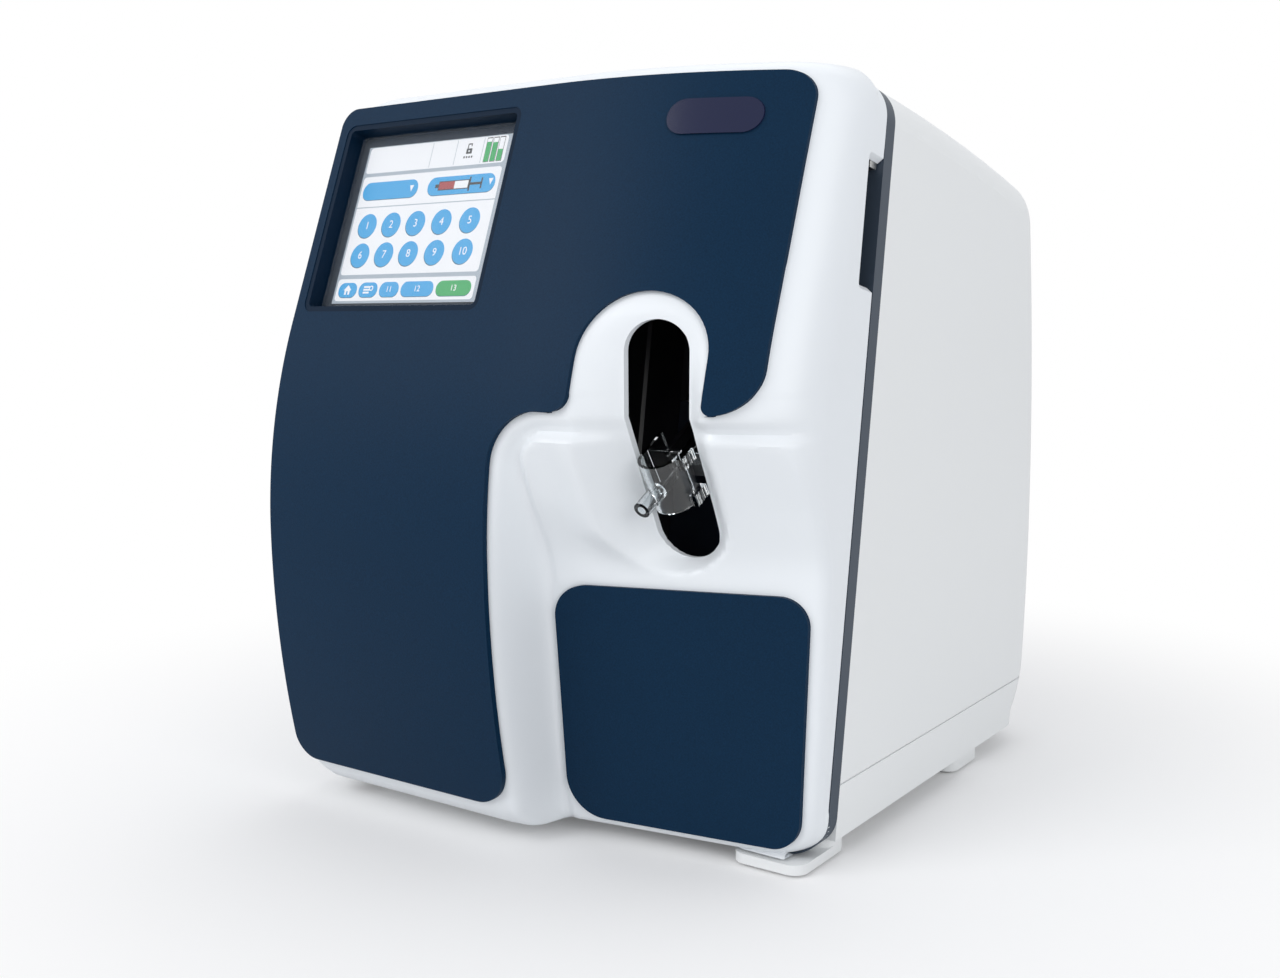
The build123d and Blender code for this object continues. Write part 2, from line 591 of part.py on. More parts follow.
with BuildPart() as hinge_brackets:
    # Goosenecks: forward from the fascia, then left to the pin.
    for up in HINGE_LEVELS:
        for shift in (-LEAF_T - CLEAR / 2, LEAF_T + CLEAR / 2):
            with BuildSketch(level(up + shift - LEAF_T / 2)):
                with BuildLine():
                    Polyline((ARM_X + ARM_W, -FASCIA_FRONT), (ARM_X + ARM_W, -HINGE_AHEAD - 7),
                             (HINGE_X + 1, -HINGE_AHEAD - 5), (HINGE_X - 3, -HINGE_AHEAD - 2),
                             (HINGE_X - 3, -HINGE_AHEAD + 3), (HINGE_X + 6, -HINGE_AHEAD - 0.8),
                             (ARM_X, -HINGE_AHEAD - 2), (ARM_X, -FASCIA_FRONT), close=True)
                make_face()
                with Locations((HINGE_X, -HINGE_AHEAD)):
                    Circle(HINGE_R)
                    Circle(PIN_R, mode=Mode.SUBTRACT)
            extrude(amount=LEAF_T)
        with BuildSketch(level(up - 14)):
            with Locations((ARM_X - 2, -FASCIA_FRONT - 1)):
                Rectangle(12, 2)
        extrude(amount=28)
write(hinge_brackets.part, "hinge_brackets")

with BuildPart() as hinge_pins:
    for up in HINGE_LEVELS:
        with BuildSketch(level(up - 1.5 * LEAF_T - CLEAR)):
            with Locations((HINGE_X, -HINGE_AHEAD)):
                Circle(PIN_R)
        extrude(amount=3 * LEAF_T + 2 * CLEAR)
write(hinge_pins.part, "hinge_pins")

with BuildPart() as hinge_lugs:
    for up in HINGE_LEVELS:
        with BuildSketch(level(up - LEAF_T / 2)):
            with Locations((-HALF + WALL, -HINGE_AHEAD)):
                Rectangle(HINGE_X + HALF - WALL, 2 * HINGE_R, align=(Align.MIN, Align.CENTER))
            with Locations((HINGE_X, -HINGE_AHEAD)):
                Circle(HINGE_R)
                Circle(PIN_R + RUN, mode=Mode.SUBTRACT)
        extrude(amount=LEAF_T)
        with BuildSketch(level(up - 12)):
            with Locations((-HALF + WALL + 1, -HINGE_AHEAD - 16)):
                Rectangle(2, 22)
        extrude(amount=24)
        with BuildSketch(level(up - LEAF_T / 2)):
            with Locations((-HALF + WALL + 2, -HINGE_AHEAD - 5.8)):
                Rectangle(4, 6.4)
        extrude(amount=LEAF_T)
write(hinge_lugs.part, "hinge_lugs")

with BuildPart() as latch_magnets:
    with BuildSketch(PARTING.offset(-DOOR_GAP)):
        with Locations(*[(MAGNET_X, up) for up in LATCH_LEVELS]):
            Circle(MAGNET_R)
    extrude(amount=-MAGNET_T)
write(latch_magnets.part, "latch_magnets")

STRIKE_T = 1.2
STRIKE_DEEP = 7.0
inner_wall = HALF - WALL - CLEAR
strike_in = MAGNET_X - MAGNET_R - 0.6
with BuildPart() as strike_plates:
    # Angles on the door's right wall, their flat side in front of the magnets.
    for up in LATCH_LEVELS:
        with BuildSketch(level(up - STRIKE_H / 2)):
            with BuildLine():
                Polyline((strike_in, -CLEAR), (inner_wall, -CLEAR), (inner_wall, -STRIKE_DEEP),
                         (inner_wall - STRIKE_T, -STRIKE_DEEP), (inner_wall - STRIKE_T, -CLEAR - STRIKE_T),
                         (strike_in, -CLEAR - STRIKE_T), close=True)
            make_face()
        extrude(amount=STRIKE_H)
write(strike_plates.part, "strike_plates")

# ================= cartridge and its bay =================

BAY_BACK = FASCIA_BACK - BAY_DEEP
CARTRIDGE_AHEAD = 22.0   # the cartridge stands this far out of the parting plane
with BuildPart() as cartridge_bay:
    with BuildSketch(PARTING.offset(FASCIA_BACK)):
        with Locations((BAY_X, BAY_UP)):
            Rectangle(BAY_W + 2 * BAY_WALL, BAY_H + 2 * BAY_WALL)
    extrude(amount=-BAY_DEEP)
    with BuildSketch(PARTING.offset(FASCIA_BACK)):
        with Locations((BAY_X, BAY_UP)):
            Rectangle(BAY_W, BAY_H)
    extrude(amount=-BAY_DEEP + BAY_WALL, mode=Mode.SUBTRACT)
write(cartridge_bay.part, "cartridge_bay")

with BuildPart() as reagent_cartridge:
    with BuildSketch(PARTING.offset(CARTRIDGE_AHEAD)):
        with Locations((BAY_X, BAY_UP)):
            RectangleRounded(BAY_W - 2 * CLEAR, BAY_H - 2 * CLEAR, 4)
    extrude(amount=BAY_BACK + BAY_WALL + CLEAR - CARTRIDGE_AHEAD)
    front = reagent_cartridge.faces().sort_by(Axis.Y)[0]
    chamfer(front.edges(), 1.5)
    # Pull grip and a shallow field on the front.
    with BuildSketch(PARTING.offset(CARTRIDGE_AHEAD)):
        with Locations((BAY_X, BAY_UP + BAY_H / 2 - 28)):
            SlotOverall(86, 20)
    extrude(amount=-14, mode=Mode.SUBTRACT)
    with BuildSketch(PARTING.offset(CARTRIDGE_AHEAD)):
        with Locations((BAY_X, BAY_UP - 22)):
            RectangleRounded(BAY_W - 32, BAY_H - 72, 5)
    extrude(amount=-0.8, mode=Mode.SUBTRACT)
write(reagent_cartridge.part, "reagent_cartridge")

# ================= sampler =================

PIVOT = PARTING.from_local_coords(Vector(0, PIVOT_UP, PIVOT_AHEAD))
ARM_DROP = 31.8          # the arm points this far below level, degrees
SHAFT_R = 3.0
CHEEK_X = (SLOT_X - 29.0, SLOT_X + 25.0)
CHEEK_T = 4.0
BRACKET_W = CHEEK_X[1] + CHEEK_T - CHEEK_X[0]
BRACKET_DEEP = 48.0      # how far the bracket's hood reaches ahead of its plate
ARM = Plane(origin=(SLOT_X, PIVOT.Y, PIVOT.Z), x_dir=(1, 0, 0),
            z_dir=(0, -cos(radians(ARM_DROP)), -sin(radians(ARM_DROP))))

with BuildPart() as sampler_bracket:
    with BuildSketch(PARTING.offset(FASCIA_FRONT)):
        with Locations((SLOT_X, PIVOT_UP + 27)):
            RectangleRounded(BRACKET_W, 70, 4)
    extrude(amount=CHEEK_T)
    with BuildSketch(PARTING.offset(FASCIA_FRONT + CHEEK_T)):
        with Locations((SLOT_X, PIVOT_UP + 45)):
            RectangleRounded(BRACKET_W, 30, 6)
    extrude(amount=BRACKET_DEEP)
    with BuildSketch(PARTING.offset(FASCIA_FRONT + CHEEK_T)):
        with Locations((SLOT_X, PIVOT_UP + 29)):
            Rectangle(BRACKET_W - 2 * CHEEK_T, 36)
    extrude(amount=BRACKET_DEEP - 3, mode=Mode.SUBTRACT)
    for x in CHEEK_X:
        with BuildSketch(level(PIVOT_UP - 10)):
            with Locations((x, -FASCIA_FRONT - CHEEK_T)):
                Rectangle(CHEEK_T, 22, align=(Align.MIN, Align.MAX))
        extrude(amount=36)
    with Locations(Location((0, PIVOT.Y, PIVOT.Z), (0, 90, 0))):
        Cylinder(SHAFT_R, WIDTH, mode=Mode.SUBTRACT)
write(sampler_bracket.part, "sampler_bracket")

SHAFT_PLANE = Plane(origin=(CHEEK_X[0], PIVOT.Y, PIVOT.Z), x_dir=(0, 1, 0), z_dir=(1, 0, 0))
SHAFT_L = BRACKET_W
with BuildPart() as sampler_shaft:
    with BuildSketch(SHAFT_PLANE):
        Circle(SHAFT_R)
    extrude(amount=SHAFT_L)
write(sampler_shaft.part, "sampler_shaft")

MOTOR_R = 14.0
with BuildPart() as sampler_motor:
    with BuildSketch(SHAFT_PLANE.offset(SHAFT_L)):
        Circle(MOTOR_R)
    extrude(amount=22)
    fillet(sampler_motor.edges().sort_by(Axis.X)[-1], 2)
write(sampler_motor.part, "sampler_motor")

GUARD_FLANGE = 3.6       # the guard's toothed flanges stand out this far
GUARD_R = SLOT_R - GUARD_FLANGE - 0.4
PROBE_X, PROBE_Y = 3.0 - GUARD_R, -9.0
ARM_HALF = SLOT_R - 1.0
ARM_END = 58.0
RAIL_T = 2.5
HUB_R = 6.5
PROBE_R = 0.9
with BuildPart() as sampler_arm:
    hub_left = CHEEK_X[0] + CHEEK_T + 1
    hub_right = CHEEK_X[1] - 1
    with BuildSketch(SHAFT_PLANE.offset(hub_left - CHEEK_X[0])):
        Circle(HUB_R)
    extrude(amount=hub_right - hub_left)
    # Channel: floor and two rails, closed by a bridge at the tip.
    with BuildSketch(ARM):
        with Locations((0, -7.5)):
            Rectangle(2 * ARM_HALF, 13)
        with Locations((0, -6)):
            Rectangle(2 * (ARM_HALF - RAIL_T), 12, mode=Mode.SUBTRACT)
    extrude(amount=ARM_END)
    with BuildSketch(ARM.offset(ARM_END - 3)):
        with Locations((0, -7.5)):
            Rectangle(2 * ARM_HALF, 13)
        with Locations((PROBE_X, PROBE_Y)):
            Circle(PROBE_R + 4 * RUN, mode=Mode.SUBTRACT)
    extrude(amount=3)
    with BuildSketch(SHAFT_PLANE):
        Circle(SHAFT_R + RUN)
    extrude(amount=SHAFT_L, mode=Mode.SUBTRACT)
write(sampler_arm.part, "sampler_arm")

CARRIAGE_FROM = 14.0
with BuildPart() as probe_carriage:
    with BuildSketch(ARM.offset(CARRIAGE_FROM)):
        with Locations((0, -12 + CLEAR)):
            Rectangle(2 * (ARM_HALF - RAIL_T - CLEAR), 9, align=(Align.CENTER, Align.MIN))
        with Locations((PROBE_X, PROBE_Y)):
            Circle(PROBE_R, mode=Mode.SUBTRACT)
    extrude(amount=14)
write(probe_carriage.part, "probe_carriage")

PROBE_TIP = 81.0
with BuildPart() as probe:
    with BuildSketch(ARM.offset(CARRIAGE_FROM)):
        with Locations((PROBE_X, PROBE_Y)):
            Circle(PROBE_R)
            Circle(PROBE_R - 0.35, mode=Mode.SUBTRACT)
    extrude(amount=PROBE_TIP - CARRIAGE_FROM)
write(probe.part, "probe")

GUARD_T = 1.7
GUARD_H = 27.0
GUARD_AT = 76.0          # distance of the trough's axis from the pivot
with BuildPart() as sample_guard:
    # Clear trough in front of the arm's tip, its back open towards the arm.
    guard_base = Plane(origin=ARM.from_local_coords(Vector(0, -GUARD_H / 2 - 2, GUARD_AT)),
                       x_dir=(1, 0, 0), z_dir=ARM.y_dir)
    with BuildSketch(guard_base):
        Circle(GUARD_R)
        Circle(GUARD_R - GUARD_T, mode=Mode.SUBTRACT)
        with Locations((0, 3)):
            Rectangle(3 * GUARD_R, GUARD_R * 2, align=(Align.CENTER, Align.MIN), mode=Mode.SUBTRACT)
        for side in (-1, 1):
            with Locations((side * (GUARD_R - GUARD_T / 2), 0)):
                Rectangle(GUARD_T, GUARD_AT - ARM_END, align=(Align.CENTER, Align.MIN))
    extrude(amount=GUARD_H)
    with BuildSketch(guard_base.offset(GUARD_H / 2 - 2)):
        with Locations((0, GUARD_AT - ARM_END)):
            Rectangle(2 * GUARD_R, 4, align=(Align.CENTER, Align.MAX))
    extrude(amount=4)
    # Two toothed flanges on the right.
    for low in (0, GUARD_H - 6):
        with BuildSketch(guard_base.offset(low)):
            with Locations((GUARD_R - GUARD_T, 2)):
                Rectangle(GUARD_FLANGE + GUARD_T, 10, align=(Align.MIN, Align.CENTER))
            with Locations(*[(GUARD_R + GUARD_FLANGE, y) for y in (-2, 0.5, 3, 5.5)]):
                Circle(0.7, mode=Mode.SUBTRACT)
        extrude(amount=6)
    # Sample port on the left, round the probe's path.
    with BuildSketch(ARM.offset(GUARD_AT + 1)):
        with Locations((PROBE_X, PROBE_Y)):
            Circle(4.2)
    extrude(amount=16)
    with BuildSketch(ARM.offset(GUARD_AT - 6)):
        with Locations((PROBE_X, PROBE_Y)):
            Circle(2.2)
    extrude(amount=30, mode=Mode.SUBTRACT)
write(sample_guard.part, "sample_guard")

# ================= pump =================

PUMP_HALF = 28.0
PUMP_TRACK_R = 22.0
PUMP_FLOOR = FASCIA_FRONT + 4.0
PUMP_FRONT = 8.0
ROLLER_R = 4.0
ROLLER_RING = 13.5
POST_R = 1.5
TUBE_R = 1.95
with BuildPart() as pump_housing:
    with BuildSketch(PARTING.offset(FASCIA_FRONT)):
        with Locations((PUMP_X, PUMP_UP)):
            RectangleRounded(2 * PUMP_HALF, 2 * PUMP_HALF, 5)
    extrude(amount=PUMP_FRONT - FASCIA_FRONT)
    with BuildSketch(PARTING.offset(PUMP_FLOOR)):
        with Locations((PUMP_X, PUMP_UP)):
            Circle(PUMP_TRACK_R)
            for side in (-1, 1):
                with Locations((side * (PUMP_TRACK_R - TUBE_R - 0.25), 0)):
                    Rectangle(2 * TUBE_R + 0.5, REACH / 4, align=(Align.CENTER, Align.MIN))
    extrude(amount=REACH, mode=Mode.SUBTRACT)
    with Locations(PARTING.location * Location((PUMP_X, PUMP_UP, 0))):
        Cylinder(PUMP_SHAFT_R + RUN, 2 * PUMP_HALF, mode=Mode.SUBTRACT)
write(pump_housing.part, "pump_housing")

with BuildPart() as pump_rotor:
    with BuildSketch(PARTING.offset(PUMP_FLOOR + CLEAR)):
        with Locations((PUMP_X, PUMP_UP)):
            Circle(ROLLER_RING + 2.5)
    extrude(amount=2.5)
    with BuildSketch(PARTING.offset(PUMP_FLOOR + CLEAR + 2.5)):
        with Locations((PUMP_X, PUMP_UP)):
            Circle(7)
            with PolarLocations(ROLLER_RING, 3):
                Circle(POST_R)
    extrude(amount=9)
    with BuildSketch(PARTING.offset(PUMP_FLOOR)):
        with Locations((PUMP_X, PUMP_UP)):
            Circle(PUMP_SHAFT_R)
    extrude(amount=20, mode=Mode.SUBTRACT)
write(pump_rotor.part, "pump_rotor")

for index, spot in enumerate(PolarLocations(ROLLER_RING, 3).local_locations):
    with BuildPart() as pump_roller:
        with BuildSketch(PARTING.offset(PUMP_FLOOR + 2.5 + 2 * CLEAR)):
            with Locations((PUMP_X + spot.position.X, PUMP_UP + spot.position.Y)):
                Circle(ROLLER_R)
                Circle(POST_R + RUN, mode=Mode.SUBTRACT)
        extrude(amount=8)
    write(pump_roller.part, f"pump_roller_{index + 1}")

PUMP_SHAFT_BACK = -50.0
with BuildPart() as pump_shaft:
    with BuildSketch(PARTING.offset(PUMP_SHAFT_BACK)):
        with Locations((PUMP_X, PUMP_UP)):
            Circle(PUMP_SHAFT_R)
    extrude(amount=PUMP_FLOOR + 10 - PUMP_SHAFT_BACK)
write(pump_shaft.part, "pump_shaft")

with BuildPart() as pump_motor:
    with BuildSketch(PARTING.offset(FASCIA_BACK)):
        with Locations((PUMP_X, PUMP_UP)):
            Circle(18)
    extrude(amount=-42)
    fillet(pump_motor.edges().sort_by(Axis.Y)[-1], 2)
    with BuildSketch(PARTING.offset(FASCIA_BACK)):
        with Locations((PUMP_X, PUMP_UP)):
            Circle(PUMP_SHAFT_R + RUN)
    extrude(amount=PUMP_SHAFT_BACK - 1 - FASCIA_BACK, mode=Mode.SUBTRACT)
write(pump_motor.part, "pump_motor")

TUBE_RING = PUMP_TRACK_R - TUBE_R - 0.25
TUBE_PLANE = PARTING.offset(PUMP_FLOOR + 2.5 + 2 * CLEAR + 4)
with BuildPart() as pump_tube:
    # Soft loop between the rollers and the track, its two ends leaving upwards.
    with BuildLine(TUBE_PLANE) as tube_path:
        Line((PUMP_X - TUBE_RING, PUMP_UP + 34), (PUMP_X - TUBE_RING, PUMP_UP))
        CenterArc((PUMP_X, PUMP_UP), TUBE_RING, 180, 180)
        Line((PUMP_X + TUBE_RING, PUMP_UP), (PUMP_X + TUBE_RING, PUMP_UP + 34))
    with BuildSketch(Plane(origin=tube_path.line @ 0, z_dir=tube_path.line % 0)):
        Circle(TUBE_R)
        Circle(TUBE_R - 0.9, mode=Mode.SUBTRACT)
    sweep(path=tube_path.line)
write(pump_tube.part, "pump_tube")

# ================= sensor holder =================

SENSOR_X = -72.0
SENSOR_UP = 76.0
SENSOR_FRONT = 4.0
CARD_HALF = 17.7
LEVER_FROM = SENSOR_FRONT + CLEAR
LEVER_T = 4.0
CLAMP_UP = 104.0
CLAMP_R = 2.0
with BuildPart() as sensor_holder:
    with BuildSketch(PARTING.offset(FASCIA_FRONT)):
        with Locations((SENSOR_X, SENSOR_UP - 2.5)):
            RectangleRounded(60, 51, 5)
    extrude(amount=SENSOR_FRONT - FASCIA_FRONT)
    with BuildSketch(PARTING.offset(SENSOR_FRONT)):
        with Locations((SENSOR_X, SENSOR_UP)):
            Rectangle(2 * CARD_HALF + 2 * CLEAR, 2 * CARD_HALF + 2 * CLEAR)
    extrude(amount=-8, mode=Mode.SUBTRACT)
    # Two ears carry the clamp's pin.
    for x in (SENSOR_X - 30, SENSOR_X + 25):
        with BuildSketch(level(CLAMP_UP - 7, SENSOR_FRONT)):
            with Locations((x, 0)):
                Rectangle(5, 9, align=(Align.MIN, Align.MAX))
                Rectangle(5, 14, align=(Align.MIN, Align.MIN))
        extrude(amount=12)
    with Locations(level(CLAMP_UP, LEVER_FROM + LEVER_T / 2).location * Location((0, 0, 0), (0, 90, 0))):
        Cylinder(CLAMP_R, WIDTH, mode=Mode.SUBTRACT)
write(sensor_holder.part, "sensor_holder")

with BuildPart() as sensor_card:
    with BuildSketch(PARTING.offset(SENSOR_FRONT - 8 + CLEAR)):
        with Locations((SENSOR_X, SENSOR_UP)):
            RectangleRounded(2 * CARD_HALF, 2 * CARD_HALF, 2)
    extrude(amount=7.2)
    with BuildSketch(PARTING.offset(SENSOR_FRONT)):
        with Locations((SENSOR_X, SENSOR_UP)):
            with GridLocations(8, 8, 3, 3):
                Circle(2)
    extrude(amount=-2, mode=Mode.SUBTRACT)
write(sensor_card.part, "sensor_card")

clamp_centre = PARTING.from_local_coords(Vector(SENSOR_X - 30, CLAMP_UP, LEVER_FROM + LEVER_T / 2))
CLAMP_SIDE = Plane(origin=clamp_centre, x_dir=(0, 1, 0), z_dir=(1, 0, 0))
with BuildPart() as clamp_pin:
    with BuildSketch(CLAMP_SIDE):
        Circle(CLAMP_R)
    extrude(amount=60)
write(clamp_pin.part, "clamp_pin")

with BuildPart() as clamp_lever:
    with BuildSketch(PARTING.offset(LEVER_FROM)):
        with Locations((SENSOR_X, CLAMP_UP)):
            Rectangle(48, CLAMP_UP - SENSOR_UP + CARD_HALF + 4, align=(Align.CENTER, Align.MAX))
        with Locations((SENSOR_X, SENSOR_UP)):
            RectangleRounded(24, 24, 3, mode=Mode.SUBTRACT)
    extrude(amount=LEVER_T)
    with BuildSketch(level(SENSOR_UP - CARD_HALF - 4, LEVER_FROM)):
        with Locations((SENSOR_X, 0)):
            Rectangle(30, 12, align=(Align.CENTER, Align.MAX))
    extrude(amount=3)
    with BuildSketch(CLAMP_SIDE.offset(6)):
        Circle(4)
    extrude(amount=48)
    with BuildSketch(CLAMP_SIDE):
        Circle(CLAMP_R + RUN)
    extrude(amount=60, mode=Mode.SUBTRACT)
write(clamp_lever.part, "clamp_lever")

# ================= inside =================

CHASSIS_X = HALF - 12.5
CHASSIS_T = 1.5
CHASSIS_FRONT, CHASSIS_BACK = -82.0, REAR_Y - 35.0
CHASSIS_LOW = BASE_BOTTOM + WALL
with BuildPart() as chassis_plate:
    with BuildSketch(Plane.XY.offset(CHASSIS_LOW)):
        with Locations((0, (CHASSIS_FRONT + CHASSIS_BACK) / 2)):
            Rectangle(2 * CHASSIS_X, CHASSIS_BACK - CHASSIS_FRONT)
        with Locations(*SCREW_SPOTS):
            Circle(SCREW_R, mode=Mode.SUBTRACT)
    extrude(amount=CHASSIS_T)
write(chassis_plate.part, "chassis_plate")

with BuildPart() as base_screws:
    for x, y in SCREW_SPOTS:
        with BuildSketch(Plane.XY.offset(BASE_BOTTOM - 2)):
            with Locations((x, y)):
                Circle(2 * SCREW_R)
                RegularPolygon(1.4, 6, mode=Mode.SUBTRACT)
        extrude(amount=2)
        with BuildSketch(Plane.XY.offset(BASE_BOTTOM - 0.5)):
            with Locations((x, y)):
                Circle(SCREW_R)
        extrude(amount=CHASSIS_LOW + CHASSIS_T + 2.5 - BASE_BOTTOM)
write(base_screws.part, "base_screws")

FLOOR_Z = CHASSIS_LOW + CHASSIS_T
BULK_Y = 66.0
BULK_T = 1.5
BULK_TOP = HEIGHT - 58.0
with BuildPart() as bulkhead:
    # Upright sheet behind the bays, with a foot flange turned back.
    with BuildSketch(Plane.XZ.offset(-BULK_Y)):
        with Locations((0, FLOOR_Z)):
            Rectangle(2 * CHASSIS_X, BULK_TOP - FLOOR_Z, align=(Align.CENTER, Align.MIN))
    extrude(amount=-BULK_T)
    with BuildSketch(Plane.XY.offset(FLOOR_Z)):
        with Locations((0, BULK_Y)):
            Rectangle(200, 12, align=(Align.CENTER, Align.MIN))
    extrude(amount=BULK_T)
write(bulkhead.part, "bulkhead")

BOARD_Y = BULK_Y + BULK_T + 6
BOARD_X, BOARD_Z = 40.0, 210.0
BOARD_W, BOARD_H = 160.0, 180.0
BOARD_SPOTS = [(x, z) for x in (BOARD_X - BOARD_W / 2 + 10, BOARD_X + BOARD_W / 2 - 10)
               for z in (BOARD_Z - BOARD_H / 2 + 10, BOARD_Z + BOARD_H / 2 - 10)]
with BuildPart() as board_spacers:
    for x, z in BOARD_SPOTS:
        with BuildSketch(Plane.XZ.offset(-BULK_Y - BULK_T)):
            with Locations((x, z)):
                Circle(3.5)
        extrude(amount=BULK_Y + BULK_T - BOARD_Y)
write(board_spacers.part, "board_spacers")

with BuildPart() as mainboard:
    with BuildSketch(Plane.XZ.offset(-BOARD_Y)):
        with Locations((BOARD_X, BOARD_Z)):
            RectangleRounded(BOARD_W, BOARD_H, 3)
    extrude(amount=-BOARD_T)
    with BuildSketch(Plane.XZ.offset(-BOARD_Y - BOARD_T)):
        with Locations((BOARD_X - 30, BOARD_Z + 40), (BOARD_X + 30, BOARD_Z - 40)):
            Rectangle(28, 28)
        with Locations((BOARD_X + 40, BOARD_Z + 40)):
            Rectangle(12, 50)
        with Locations((BOARD_X - 52, BOARD_Z - 40)):
            Rectangle(10, 40)
    extrude(amount=-6)
write(mainboard.part, "mainboard")

PSU_X, PSU_Y = -72.0, BACK_Y - 53.0
PSU_W, PSU_L, PSU_H = 78.0, 60.0, 54.0
with BuildPart() as power_supply:
    with BuildSketch(Plane.XY.offset(FLOOR_Z)):
        with Locations((PSU_X, PSU_Y)):
            Rectangle(PSU_W, PSU_L)
    extrude(amount=PSU_H)
    with BuildSketch(Plane.XY.offset(FLOOR_Z + PSU_H)):
        with Locations((PSU_X, PSU_Y)):
            with GridLocations(10, 44, 6, 1):
                SlotOverall(PSU_L - 20, 4, rotation=90)
    extrude(amount=-2, mode=Mode.SUBTRACT)
write(power_supply.part, "power_supply")

FAN_X, FAN_Z = -60.0, 230.0
FAN_SIZE, FAN_DEEP = 60.0, 20.0
FAN_HUB_R = 11.0
FAN_PIN_R = 2.0
INLET_X, INLET_Z = 78.0, 88.0
INLET_W, INLET_H = 28.0, 21.0
SWITCH_X = 36.0
SWITCH_W, SWITCH_H = 19.0, 27.0
USB_X = (-8.0, -30.0)
USB_W, USB_H = 14.0, 7.0
LAN_X = -58.0
LAN_W, LAN_H = 16.0, 13.6
VENT_X = 60.0
with BuildPart() as back_panel:
    with BuildSketch(Plane.XZ.offset(-BACK_Y + BACK_T)):
        with Locations((0, REAR_OPEN_Z)):
            Rectangle(REAR_OPEN_W + 2 * PANEL_EDGE, REAR_OPEN_H + 2 * PANEL_EDGE)
        with Locations((FAN_X, FAN_Z)):
            Circle(FAN_SIZE / 2 - 2.5, mode=Mode.SUBTRACT)
            for ring in (FAN_SIZE / 3, FAN_HUB_R):
                Circle(ring)
                Circle(ring - 2, mode=Mode.SUBTRACT)
            Rectangle(FAN_SIZE - 4, 3)
            Rectangle(3, FAN_SIZE - 4)
        with Locations((INLET_X, INLET_Z)):
            Rectangle(INLET_W, INLET_H, mode=Mode.SUBTRACT)
        with Locations((SWITCH_X, INLET_Z)):
            Rectangle(SWITCH_W, SWITCH_H, mode=Mode.SUBTRACT)
        with Locations(*[(x, INLET_Z) for x in USB_X]):
            Rectangle(USB_W, USB_H, mode=Mode.SUBTRACT)
        with Locations((LAN_X, INLET_Z)):
            Rectangle(LAN_W, LAN_H, mode=Mode.SUBTRACT)
        with Locations((VENT_X, FAN_Z)):
            with GridLocations(0, 9, 1, 7):
                SlotOverall(70, 4, mode=Mode.SUBTRACT)
    extrude(amount=-BACK_T)
write(back_panel.part, "back_panel")

with BuildPart() as fan_housing:
    with BuildSketch(Plane.XZ.offset(-BACK_Y + BACK_T)):
        with Locations((FAN_X, FAN_Z)):
            RectangleRounded(FAN_SIZE, FAN_SIZE, 4)
            Circle(FAN_SIZE / 2 - 1.5, mode=Mode.SUBTRACT)
    extrude(amount=FAN_DEEP)
    with BuildSketch(Plane.XZ.offset(-BACK_Y + BACK_T + FAN_DEEP - 2)):
        with Locations((FAN_X, FAN_Z)):
            Circle(FAN_HUB_R)
            Rectangle(FAN_SIZE - 2, 5)
            Rectangle(5, FAN_SIZE - 2)
    extrude(amount=2)
    with BuildSketch(Plane.XZ.offset(-BACK_Y + BACK_T + 3)):
        with Locations((FAN_X, FAN_Z)):
            Circle(FAN_PIN_R)
    extrude(amount=FAN_DEEP - 4)
write(fan_housing.part, "fan_housing")

FAN_BLADE_R = FAN_SIZE / 2 - 3
BLADES = 7
BLADE_T, BLADE_W = 1.4, 12.0
BLADE_PITCH = 35.0
with BuildPart() as fan_rotor:
    with BuildSketch(Plane.XZ.offset(-BACK_Y + BACK_T + 3)):
        with Locations((FAN_X, FAN_Z)):
            Circle(FAN_HUB_R)
    extrude(amount=FAN_DEEP - 6)
    fan_hub = Plane(origin=(FAN_X, BACK_Y - BACK_T - 4, FAN_Z), z_dir=(0, -1, 0))
    for turn in range(BLADES):
        blade_plane = Plane(fan_hub.location * Location((0, 0, 5.5), (0, 0, turn * 360 / BLADES))
                            * Location((FAN_HUB_R - 1.5, 0, 0), (0, 90, 0))
                            * Location((0, 0, 0), (0, 0, BLADE_PITCH)))
        with BuildSketch(blade_plane):
            Rectangle(BLADE_T, BLADE_W)
        extrude(amount=FAN_BLADE_R - FAN_HUB_R + 1)
    with BuildSketch(Plane.XZ.offset(-BACK_Y + BACK_T)):
        with Locations((FAN_X, FAN_Z)):
            Circle(FAN_PIN_R + RUN)
    extrude(amount=FAN_DEEP, mode=Mode.SUBTRACT)
write(fan_rotor.part, "fan_rotor")

with BuildPart() as power_inlet:
    with BuildSketch(Plane.XZ.offset(-BACK_Y)):
        with Locations((INLET_X, INLET_Z)):
            RectangleRounded(INLET_W + 20, INLET_H + 7, 3)
    extrude(amount=-2)
    with BuildSketch(Plane.XZ.offset(-BACK_Y)):
        with Locations((INLET_X, INLET_Z)):
            Rectangle(INLET_W - 2 * CLEAR, INLET_H - 2 * CLEAR)
    extrude(amount=20)
    with BuildSketch(Plane.XZ.offset(-BACK_Y - 2)):
        with Locations((INLET_X, INLET_Z)):
            Rectangle(24, 16.5)
    extrude(amount=18, mode=Mode.SUBTRACT)
    with BuildSketch(Plane.XZ.offset(-BACK_Y + 16)):
        with Locations((INLET_X - 7, INLET_Z - 2), (INLET_X + 7, INLET_Z - 2), (INLET_X, INLET_Z + 2)):
            Rectangle(2, 4)
    extrude(amount=-14)
write(power_inlet.part, "power_inlet")

